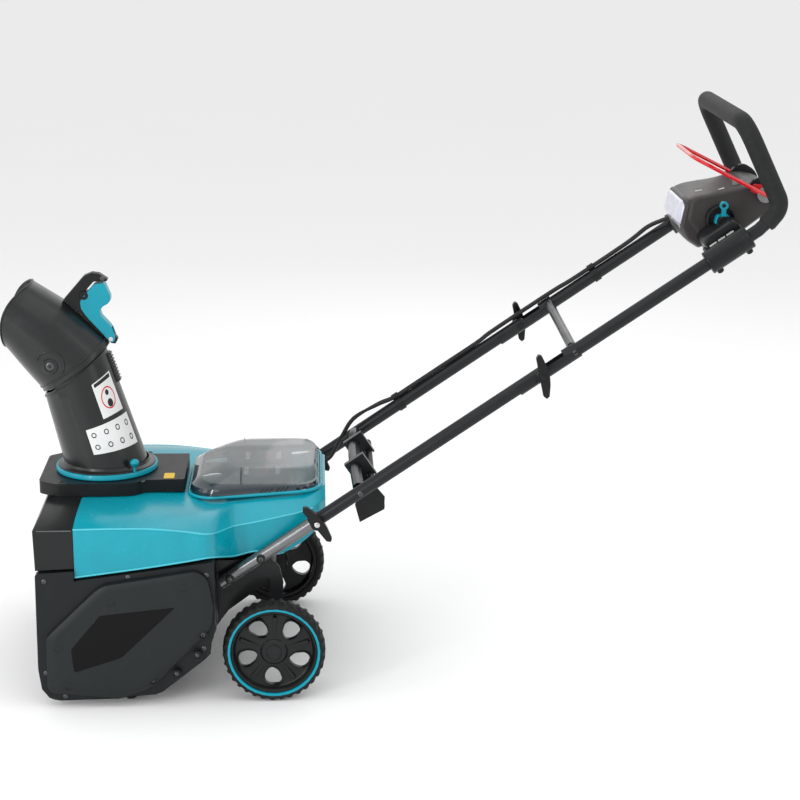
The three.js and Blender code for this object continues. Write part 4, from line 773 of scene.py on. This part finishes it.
def hood_lip():
    """A funnel from the hood's inner wall down into the chute's rim: tilted ovals, each given by its front and
    rear points and half width, outside and then 2 mm inside."""
    v = np.linspace(0, TAU, 97)[:-1]
    ovals = np.array([(-440, 543.5, -314, 633, 74.2), (-431.5, 541.5, -322.5, 619.2, 68.4),
        (-430, 543.5, -323.5, 618.3, 67.6), (-427.3, 533.9, -320.8, 608.7, 67.4)])
    ovals = np.concatenate([ovals, ovals[::-1] + [2, 1.0, -2, -1.0, -2.0]])
    k = (0.5 + 0.5 * np.sin(v))[None]
    y = ovals[:, 0:1] + (ovals[:, 2:3] - ovals[:, 0:1]) * k
    z = ovals[:, 1:2] + (ovals[:, 3:4] - ovals[:, 1:2]) * k
    return grid_object("hood_lip", np.stack([ovals[:, 4:5] * np.cos(v)[None], y, z], -1), loop_u=True)


finish(hood_lip(), "chute", "deflector", 40)
for side, name in SIDES:
    turn = np.linspace(deg(-35), deg(160), 60)
    ridge = np.array([on_hood(PIVOT_Y + 26 * math.cos(a), PIVOT_Z + 2 + 26 * math.sin(a), 1.6, side) for a in turn])
    finish(swept("hood_boss_ridge_" + name, ridge, 1.8, 12), "chute", "deflector", 60)
    hub = lathe_x("hood_pivot_boss_" + name, [[r, side * x] for r,
        x in ((4, 72), (15, 72), (15, 77.4), (14, 78.8), (9.5, 79.0), (9, 77.6), (4, 77.6))], PIVOT_Y, PIVOT_Z, 64)
    finish(hub, "chute", "deflector", 30)
    screw("hood_pivot_screw_" + name, (side * 78.2, PIVOT_Y, PIVOT_Z), (side, 0, 0), 8.0, "deflector", "dark_fixing",
        1.4)
v = np.linspace(0, TAU, 121)
finish(swept("hood_seam_edge", hood_point(np.full(121, 0.03), v, 0.9), 1.8, 10), "chute", "deflector", 60)
v = v[:-1]
edge = hood_point(np.full(120, 1.0), v, 0.0) + (0.2 * np.cos(v) ** 2)[:, None] * np.array([0, -95, 79])
finish(swept("hood_mouth_edge", np.concatenate([edge, edge[:1]]), 1.9, 10), "chute", "deflector", 60)
screw("bracket_screw", (10.6, -316, 748), (1, 0, 0), 4.5, "deflector", "dark_fixing", 1.2)
finish(lathe_x("bracket_roller", [[2, -12.5], [8, -12.5], [9, -11], [9, 11], [8, 12.5], [2, 12.5]], -352, 716, 48),
    "black", "deflector", 34)
finish(lathe_x("trigger_pin", [[0.6, -13.4], [4, -13.4], [4.4, -12.8], [4.4, 12.8], [4, 13.4], [0.6, 13.4]], -304,
    632, 32), "bright", "deflector", 34)

# ---------------- side panel, belt cover and their screws
cover = rounded([(-405, 147, 8), (-414, 136, 6), (-415, 40, 8), (-406, 30, 8), (-283, 18, 8), (-228, 35, 22),
    (-112, 154, 20), (-108, 189, 10),
                 (-118, 247, 10), (-138, 262, 18), (-306, 237, 10), (-322, 227, 10)], 8, 7)
middle = np.array([-262, 139.0])
steps = ((277.4, 0), (286.0, 0), (287.2, 0.6), (288.0, 2.2), (290.0, 12.0), (290.4, 14.5), (290.5, 17.0))
rim = [np.column_stack([np.full(len(cover), x), middle + (cover - middle) * (1 - inset / 128)]) for x, inset in steps]
finish(grid_object("drive_cover", np.stack(rim)), "cover", "chassis", 26, stands_for=("belt_cover",))
inlay = rounded([(-316, 181), (-177, 195), (-278, 99), (-365, 71), (-369, 116)], 6, 6)
middle = inlay.mean(0)
rim = [np.column_stack([np.full(len(inlay), x), (inlay - middle) * k + middle]) for k,
    x in ((1.0, 290.2), (1.0, 290.9), (0.985, 291.2), (0.955, 291.25))]
finish(grid_object("cover_inlay", np.stack(rim)), "inlay", "chassis", 30)
for i, (y, z) in enumerate(((-161, 232), (-293, 206), (-128, 140), (-140, 100), (-178, 64), (-222, 52), (-377, 44),
    (-392, 118))):
    cup = [[4.0, 283], [8.4, 283], [8.4, 289.9], [7.6, 290.9], [6.6, 291.0], [6.0, 289.4], [5.6, 287.8], [4.0, 287.6]]
    finish(lathe_x("cover_cup_%d" % i, cup, y, z, 40), "cover", "chassis", 34)
    screw("cover_screw_%d" % i, (287.4, y, z), (1, 0, 0), 5.0, "chassis", "dark_fixing", 1.8)
for side, name in SIDES:
    for i, (y, z) in enumerate(((-414, 244), (-418, 66), (-384, 20), (-120, 252), (-128, 110), (-262, 250))):
        screw("panel_screw_%s_%d" % (name, i), (277.0 if side > 0 else -275.3, y, z), (side, 0, 0), 4.8, "chassis",
            "dark_fixing", 1.8)
    hood_line = np.array([[side * 271.3, y, 337.5] for y in np.linspace(-424, -362, 30)])
    # The bead is coloured lighter than the hood: a painted highlight along the front crease.
    finish(swept("front_crease_" + name, hood_line, 1.1, 10), "black_painted_highlight", "chassis", 60)


# ---------------- battery lid and packs
def lid_skin():
    """Rings of one rounded plan, stacked from the tilted foot to the level top: the plan draws in fastest at the
    front, and each height mixes the foot's tilt with the top's."""
    rows = []
    for q, half, front, rear, corner in ((0, 138, -156, 84, 26), (0.03, 139, -157, 85, 26), (0.16, 139, -157, 85, 27),
        (0.30, 137, -155, 84, 28), (0.36, 131, -150, 82, 28),
                                         (0.42, 129, -147, 82, 28), (0.62, 122, -130, 82, 28),
                                         (0.86, 112, -108, 80, 26), (0.95, 107, -100, 77, 24),
                                         (0.99, 101, -94, 71, 22), (1.0, 94, -87, 64, 20)):
        plan = rounded([(half, front + 34, 30), (half - 40, front, corner), (40 - half, front, corner),
            (-half, front + 34, 30), (-half, rear, corner + 22), (half, rear, corner + 22)], corner, 12)
        foot = 352.5 + (plan[:, 1] + 156) / 240 * 17.5
        rows.append(np.column_stack([plan, foot * (1 - q) + 401.0 * q]))
    outer = np.array(rows)
    return grid_object("lid_skin", np.concatenate([outer, outer[-1:] * 0 + outer[-1:].mean(1, keepdims=True)]),
        caps=False)


lid = lid_skin()
tidy(lid, 22)
film(lid, "lid", "battery_lid", 0.0022, -1)
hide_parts("battery_lid")
for side, name in SIDES:
    joint = np.array([[side * 129.0, -60, 378.0], [side * 122.5, -60, 386.0], [side * 112.5, -60, 396.6],
        [side * 101, -60, 401.6]])
    finish(swept("lid_joint_" + name, flowing(joint, 20), 0.8, 8), "console_dark", "battery_lid", 60)
    slots = [swept("slot", [(side * 139.4, y, z0), (side * 139.4, y + 7, z0 + 7)], 0.9, 8) for y,
        z0 in ((-24, 364), (-16, 364.6), (-8, 365.2), (6, 366), (14, 366.6), (22, 367.2))]
    finish(joined("lid_vents_" + name, slots), "console_dark", "battery_lid", 60)
for side, name in SIDES:
    top = rounded([(side * 10, -92), (side * 92, -92), (side * 92, 34), (side * 10, 34)], 10, 7)
    mid = top.mean(0)
    rings = [(1.0, 362.0), (1.0, 377.0), (0.985, 379.2), (0.95, 380.2), (0.86, 380.3)]
    finish(grid_object("pack_top_" + name,
        np.stack([np.column_stack([(top - mid) * k + mid, np.full(len(top), z)]) for k, z in rings])), "battery",
        "chassis", 30)
    for i, (y, w, look) in enumerate(((-52, 9, "label"), (-14, 7, "label_red"), (8, 9, "label"))):
        o = rounded([(side * 26, y - w / 2), (side * 76, y - w / 2), (side * 76, y + w / 2), (side * 26, y + w / 2)],
            1.5, 4)
        finish(grid_object("pack_stripe_%s_%d" % (name, i), level(o, (380.2, 380.7))), look, "chassis", 30)
base = rounded([(136, -128, 26), (98, -160, 24), (-98, -160, 24), (-136, -128, 26), (-141, 90, 46), (141, 90, 46)],
    24, 12)
line = np.column_stack([base, 350.6 + (base[:, 1] + 156) / 240 * 17.0])
finish(swept("lid_seat", np.concatenate([line, line[:1]]), 3.2, 14), "teal", "chassis", 60)

# ---------------- top cover details
label = rounded([(46, -208), (80, -208), (80, -188), (46, -188)], 2.5, 4)
finish(grid_object("setting_label", level(label, (376.15, 376.15 + 0.3))), "label_yellow", "chassis", 30)
for i, (x, y) in enumerate(((92, -400), (-92, -400), (96, -246), (-96, -246))):
    screw("top_screw_%d" % i, (x, y, 376.0), (0, 0, 1), 4.6, "chassis", "dark_fixing", 1.6)

# ---------------- rail fixings, brackets, clips and cables
for side, name in SIDES:
    for s in (-196, -126):
        screw("rail_bolt_%s_%d" % (name, -s), on_rail(s, side * 212.6), (side, 0, 0), 8.5, "chassis", "front", 5.0,
            recess=False)
        screw("rail_bolt_socket_%s_%d" % (name, -s), on_rail(s, side * 217.2), (side, 0, 0), 4.4, "chassis",
            "dark_fixing", 1.4)
    for s, r in ((118, 5.2), (567, 5.4)):
        body = "lower_handle" if s < 400 else "upper_handle"
        screw("bar_screw_%s_%d" % (name, s), on_rail(s - 22 if s < 400 else s, side * 212.4), (side, 0, 0), r, body,
            "dark_fixing", 2.4)
    for s, face, body in ((0, 212.8, "lower_knob_" + name), (FOLD, 215.5, "upper_knob_" + name)):
        at = on_rail(s)
        tip = face + KNOB_LENGTH
        cap = [[0.3, tip], [4.6, tip], [5.4, tip + 0.8], [5.0, tip + 2.2], [3.2, tip + 3.0], [0.3, tip + 3.2]]
        finish(lathe_x("knob_cap_%s_%d" % (name, s), [[r, side * x] for r, x in cap], at[1], at[2], 48),
            "bright" if s == 0 else "black", body, 34)
        flute = [[r, side * x] for r, x in ((12.0, face + 1), (13.6, face + 1.6), (13.6, face + 4),
            (12.0, face + 4.6))]
        finish(lathe_x("knob_collar_%s_%d" % (name, s), flute, at[1], at[2], 48), "black", body, 34)
for s in (205, 676):
    body = "lower_handle" if s < 400 else "upper_handle"
    ring = swept("cable_clip_%d" % s, [on_rail(s - 7, -RAIL_X), on_rail(s + 7, -RAIL_X)], 14.6, 40, bore=12.7)
    finish(ring, "black", body, 34)
    finish(swept("cable_saddle_%d" % s, [on_rail(s - 7, -RAIL_X, 18.6), on_rail(s + 7, -RAIL_X, 18.6)], 8.4, 32,
        squash=0.62), "black", body, 34)


def cable(name, points, start, end, node):
    """A round jacket on a smooth curve through the clips."""
    path = flowing(points, 200)
    made = swept(name, path, 3.2, 16)
    tidy(made)
    made.data.materials.append(LOOK["jacket"].material)
    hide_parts(node)
    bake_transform(made)


for tag, k in (("signal", 1), ("power", -1)):
    x = -RAIL_X + 4.8 * k
    low = [(-132 + 8 * k, 101, 346), (-140 + 8 * k, 112, 352 + 3 * k), (-160 + 6 * k, 132, 384 + 4 * k),
        (-184 + 5 * k, 158, 417 + 3 * k),
           on_rail(165, x, 24), on_rail(200, x, 17.5), on_rail(240, x, 17), on_rail(300.1, x, 17)]
    high = [on_rail(300.3, x, 17), on_rail(400, x, 17), on_rail(436, x, 19.5), on_rail(510, x, 20),
        on_rail(590, x, 19.5), on_rail(640, x, 17.5),
            on_rail(760, x, 18), on_rail(812, x + 8, 24), on_rail(842, x + 32, 25), on_rail(861, -151 + 4.8 * k, 24),
            on_rail(871, -150 + 4.8 * k, 24)]
    cable(tag + "_lead_lower", low, (x, 101, 346), on_rail(165, x, 24),
        tag + "_cable_lower")
    cable(tag + "_lead_upper", high, on_rail(440, x), on_rail(560, x),
        tag + "_cable_upper")

# ---------------- grip
def grip_route():
    """From the left rail's end up round the loop and back to the right rail, with each corner a wide parabola."""
    foot, knee, top = on_rail(972), np.array([200.0, 919, 908]), np.array([200.0, 848, 1057])
    start = foot + (knee - foot) * 0.1
    flip = np.array([-1.0, 1, 1])
    return routed([start, knee, top, top * flip, knee * flip, start * flip], 46, 18)


route = grip_route()
fine = np.concatenate([np.linspace(route[i], route[i + 1], 5)[:-1] for i in range(len(route) - 1)] + [route[-1:]])
along = np.concatenate([[0], np.cumsum(np.linalg.norm(np.diff(fine, axis=0), axis=1))])
ends = np.minimum(along, along[-1] - along)
finish(swept("grip_foam", fine, 14.6 + 2.3 * np.clip(ends / 4, 0, 1) ** 0.5, 48), "foam", "upper_handle", 50,
    stands_for=("handle_grip",))


# ---------------- console
def lofted(name, outline, stations, look, stands_for=(), sharp=30.0):
    """One side outline set at places across the machine, shrunk towards its middle by the factor of each place."""
    o = np.asarray(outline, float)
    mid = o.mean(0)
    rows = [np.column_stack([np.full(len(o), x), (o - mid) * k + mid]) for x, k in stations]
    return finish(grid_object(name, np.stack(rows)), look, "upper_handle", sharp, stands_for=stands_for)


def mirrored(pairs):
    """Stations on one side, with the same ones on the other side before them."""
    return [(-x, k) for x, k in pairs[::-1]] + list(pairs)


head = rounded([(764, 862, 8), (770, 901, 8), (790, 909, 10), (847, 918, 14), (894, 932, 12), (928, 926, 12),
    (942, 902, 10), (934, 886, 8), (840, 815, 14), (802, 817, 12)], 8, 7)
lofted("console_head", head, mirrored([(40, 1.0), (66, 1.0), (80, 0.985), (89, 0.92), (91.6, 0.87), (92, 0.82)]),
    "console", ("console_cover",))
lens = rounded([(753, 862, 5), (761, 898, 6), (780, 897, 8), (803, 876, 8), (818, 843, 8), (812, 826, 6),
    (797, 812, 6), (772, 830, 6)], 6, 6)
lofted("lamp_window", lens, mirrored([(40, 1.0), (60, 1.0), (72, 0.96), (80, 0.86), (82.5, 0.76)]), "lens",
    ("headlight_lens",), 24)
bezel = rounded([(757, 858, 5), (766, 903, 6), (784, 902, 8), (808, 880, 8), (823, 845, 8), (815, 822, 6),
    (797, 808, 6), (772, 824, 6)], 6, 6)
lofted("lamp_bezel", bezel, mirrored([(40, 1.0), (74, 0.98), (86, 0.88), (89, 0.76)]), "console", (), 24)
for side, name in SIDES:
    pod = rounded([(868, -14, 4), (868, 24, 6), (878, 33, 8), (934, 33, 8), (943, 24, 6), (943, -14, 4)], 5, 6)
    rows = []
    for x, k in ((70, 1.0), (150, 1.0), (160, 0.97), (164, 0.9), (165, 0.84)):
        p = (pod - pod.mean(0)) * k + pod.mean(0)
        rows.append(np.array([on_rail(a, side * x, b) for a, b in p]))
    finish(grid_object("console_pod_" + name, np.stack(rows)), "console_dark", "upper_handle", 30,
        stands_for=("console_base",) if side > 0 else ())
    arm = rounded([(862, -13), (862, 14), (932, 14), (932, -13)], 6, 6)
    rows = [np.array([on_rail(a, side * x, b) for a, b in arm]) for x in (140, 150, 170, 196)]
    finish(grid_object("console_arm_" + name, np.stack(rows)), "console_dark", "upper_handle", 30)
    ends = np.array([853, 853.6, 856, 858, 938, 940, 942])
    size = np.array([19.5, 21.4, 22, 21.4, 21.4, 22, 20])
    sleeve = [on_rail(a, side * RAIL_X) for a in ends]
    finish(swept("console_sleeve_" + name, sleeve, size, 56), "console_dark", "upper_handle", 30)
    for s in (866, 928):
        foot = swept("sleeve_boss_%s_%d" % (name, s), [on_rail(s, side * RAIL_X, -14), on_rail(s, side * RAIL_X, -25),
            on_rail(s, side * RAIL_X, -27)], np.array([7, 6.2, 5.2]), 32)
        finish(foot, "console_dark", "upper_handle", 30)
        screw("sleeve_screw_%s_%d" % (name, s), on_rail(s, side * RAIL_X, -27),
            on_rail(s, 0, -28) - on_rail(s, 0, -27), 3.4, "upper_handle", "dark_fixing", 1.2)
    for i, s in enumerate((882, 900, 918)):
        bar = rounded([(s - 7.5, 9), (s + 7.5, 9), (s + 7.5, 17), (s - 7.5, 17)], 1.5, 5)
        rows = [np.array([on_rail(a, side * x, b) for a, b in bar]) for x in (163.0, 165.2)]
        finish(grid_object("pod_window_%s_%d" % (name, i), np.stack(rows)), "label", "upper_handle", 30)
    seat = lathe_x("lever_seat_" + name, [[r, side * x] for r,
        x in ((3, 92), (26, 92), (27, 93), (27, 108), (25.5, 109.5), (23.5, 109.5), (22.5, 107), (22, 101),
        (3, 101))], 830, 868, 72)
    finish(seat, "console_dark", "upper_handle", 30)
    base = rounded([(816, 862), (820, 879), (843, 879), (846, 862), (838, 852), (824, 852)], 5, 6)
    finish(slab_x("lever_base_" + name, base, side * 101, side * 119), "teal_trim", "lock_lever_" + name, 30,
        bevel=1.6)
grid_lines = [swept("deck_rib", [(x, 852, 918.6), (x, 886, 928.8)], 0.9, 8) for x in (-24, -12, 0, 12, 24)]
grid_lines += [swept("deck_rib", [(-30, y, z), (30, y, z)], 0.9, 8) for y,
    z in ((856, 919.8), (866, 922.7), (876, 925.6))]
finish(joined("deck_grid", grid_lines), "console", "upper_handle", 60)
for i, (x, y, z, a) in enumerate(((34, 800, 911.2, 0.16), (52, 838, 916.8, 0.3))):
    mark = np.array([[-2, -6], [2, -6], [2, 6], [-2, 6.0]])
    rows = [np.column_stack([x + mark[:, 0], y + mark[:, 1], z + mark[:, 1] * a + h]) for h in (-1.6, 0.5)]
    finish(grid_object("deck_mark_%d" % i, np.stack(rows)), "label", "upper_handle", 30)
fin = rounded([(878, 905, 6), (884, 936, 16), (906, 946, 20), (930, 932, 18), (940, 905, 14), (930, 892, 6)], 14, 9)
for side, name in SIDES:
    finish(slab_x("bail_fin_" + name, fin, side * 78, side * 90), "console_dark", "upper_handle", 30, bevel=2.4)
    block = rounded([(884, 918, 3), (890, 933, 3), (906, 931, 3), (902, 913, 3)], 3, 5)
    finish(slab_x("bail_block_" + name, block, side * 92, side * 101), "red_block", "bail", 30, bevel=1.2)

# ---------------- console details
for side, name in SIDES:
    finish(lathe_x("lever_washer_" + name, [[r, side * x] for r,
        x in ((2, 134), (10, 134), (10.4, 133.4), (10.4, 122), (2, 122))], 830, 868, 48), "console_dark",
        "upper_handle", 34)
bail_boss = ((2, 96), (14, 96), (15, 97), (15, 101), (13, 102.4), (2, 102.8))
for side, name in SIDES:
    boss = lathe_x("bail_boss_" + name, [[r, side * x] for r, x in bail_boss], 912, 913, 48)
    finish(boss, "grey_disc", "upper_handle", 34)

# ---------------- camera, light and floor
camera_data = bpy.data.cameras.new("camera")
camera_data.sensor_width = 36
camera_data.lens = 91.3
camera = bpy.data.objects.new("camera", camera_data)
bpy.context.scene.collection.objects.link(camera)
camera.location = place([3768, 87, 1511])
camera.rotation_euler = (math.radians(75.04), 0, math.radians(87.62))
bpy.context.scene.camera = camera


def soft_light(name, at, towards, size, power):
    """A rectangular lamp that faces a point."""
    data = bpy.data.lights.new(name, "AREA")
    data.shape = "RECTANGLE"
    data.size, data.size_y = size
    data.energy = power
    lamp = bpy.data.objects.new(name, data)
    bpy.context.scene.collection.objects.link(lamp)
    lamp.location = at
    lamp.rotation_euler = (Vector(towards) - Vector(at)).to_track_quat("-Z", "Y").to_euler()


soft_light("overhead", (0.6, -0.2, 3.4), (0, 0, 0.3), (3.4, 3.4), 27)
soft_light("camera_side", (3.2, -1.6, 1.9), (0, 0, 0.45), (1.6, 2.0), 13)
soft_light("handle_side", (1.6, 2.8, 2.0), (0, 0.3, 0.6), (1.2, 2.2), 11)
soft_light("front_side", (0.8, -3.0, 1.2), (0, -0.3, 0.4), (1.0, 2.2), 9)
soft_light("chute_strip", (2.6, -2.3, 1.2), (0, -0.54, 0.5), (0.3, 1.8), 26)
soft_light("far_side", (-2.6, 0.4, 2.2), (0, 0, 0.5), (1.6, 2.4), 8)

world = bpy.data.worlds.new("studio")
bpy.context.scene.world = world
world.use_nodes = True
world.node_tree.nodes["Background"].inputs[0].default_value = (1.0, 1.0, 1.0, 1.0)
world.node_tree.nodes["Background"].inputs[1].default_value = 0.88
bpy.context.scene.view_settings.view_transform = "Standard"

floor_data = bpy.data.meshes.new("floor")
floor_data.from_pydata([(-60, -60, -0.0006), (60, -60, -0.0006), (60, 60, -0.0006), (-60, 60, -0.0006)], [],
    [(0, 1, 2, 3)])
floor = bpy.data.objects.new("floor", floor_data)
bpy.context.scene.collection.objects.link(floor)
paper = Sheet("studio_floor", Specular_IOR_Level=0.2)
cloud = paper.noise(0.8, 2.0)
paper.colour(paper.mix(cloud, (0.93, 0.93, 0.93), (0.95, 0.95, 0.95)))
paper.roughness(cloud * 0.1 + 0.6)
floor_data.materials.append(paper.material)
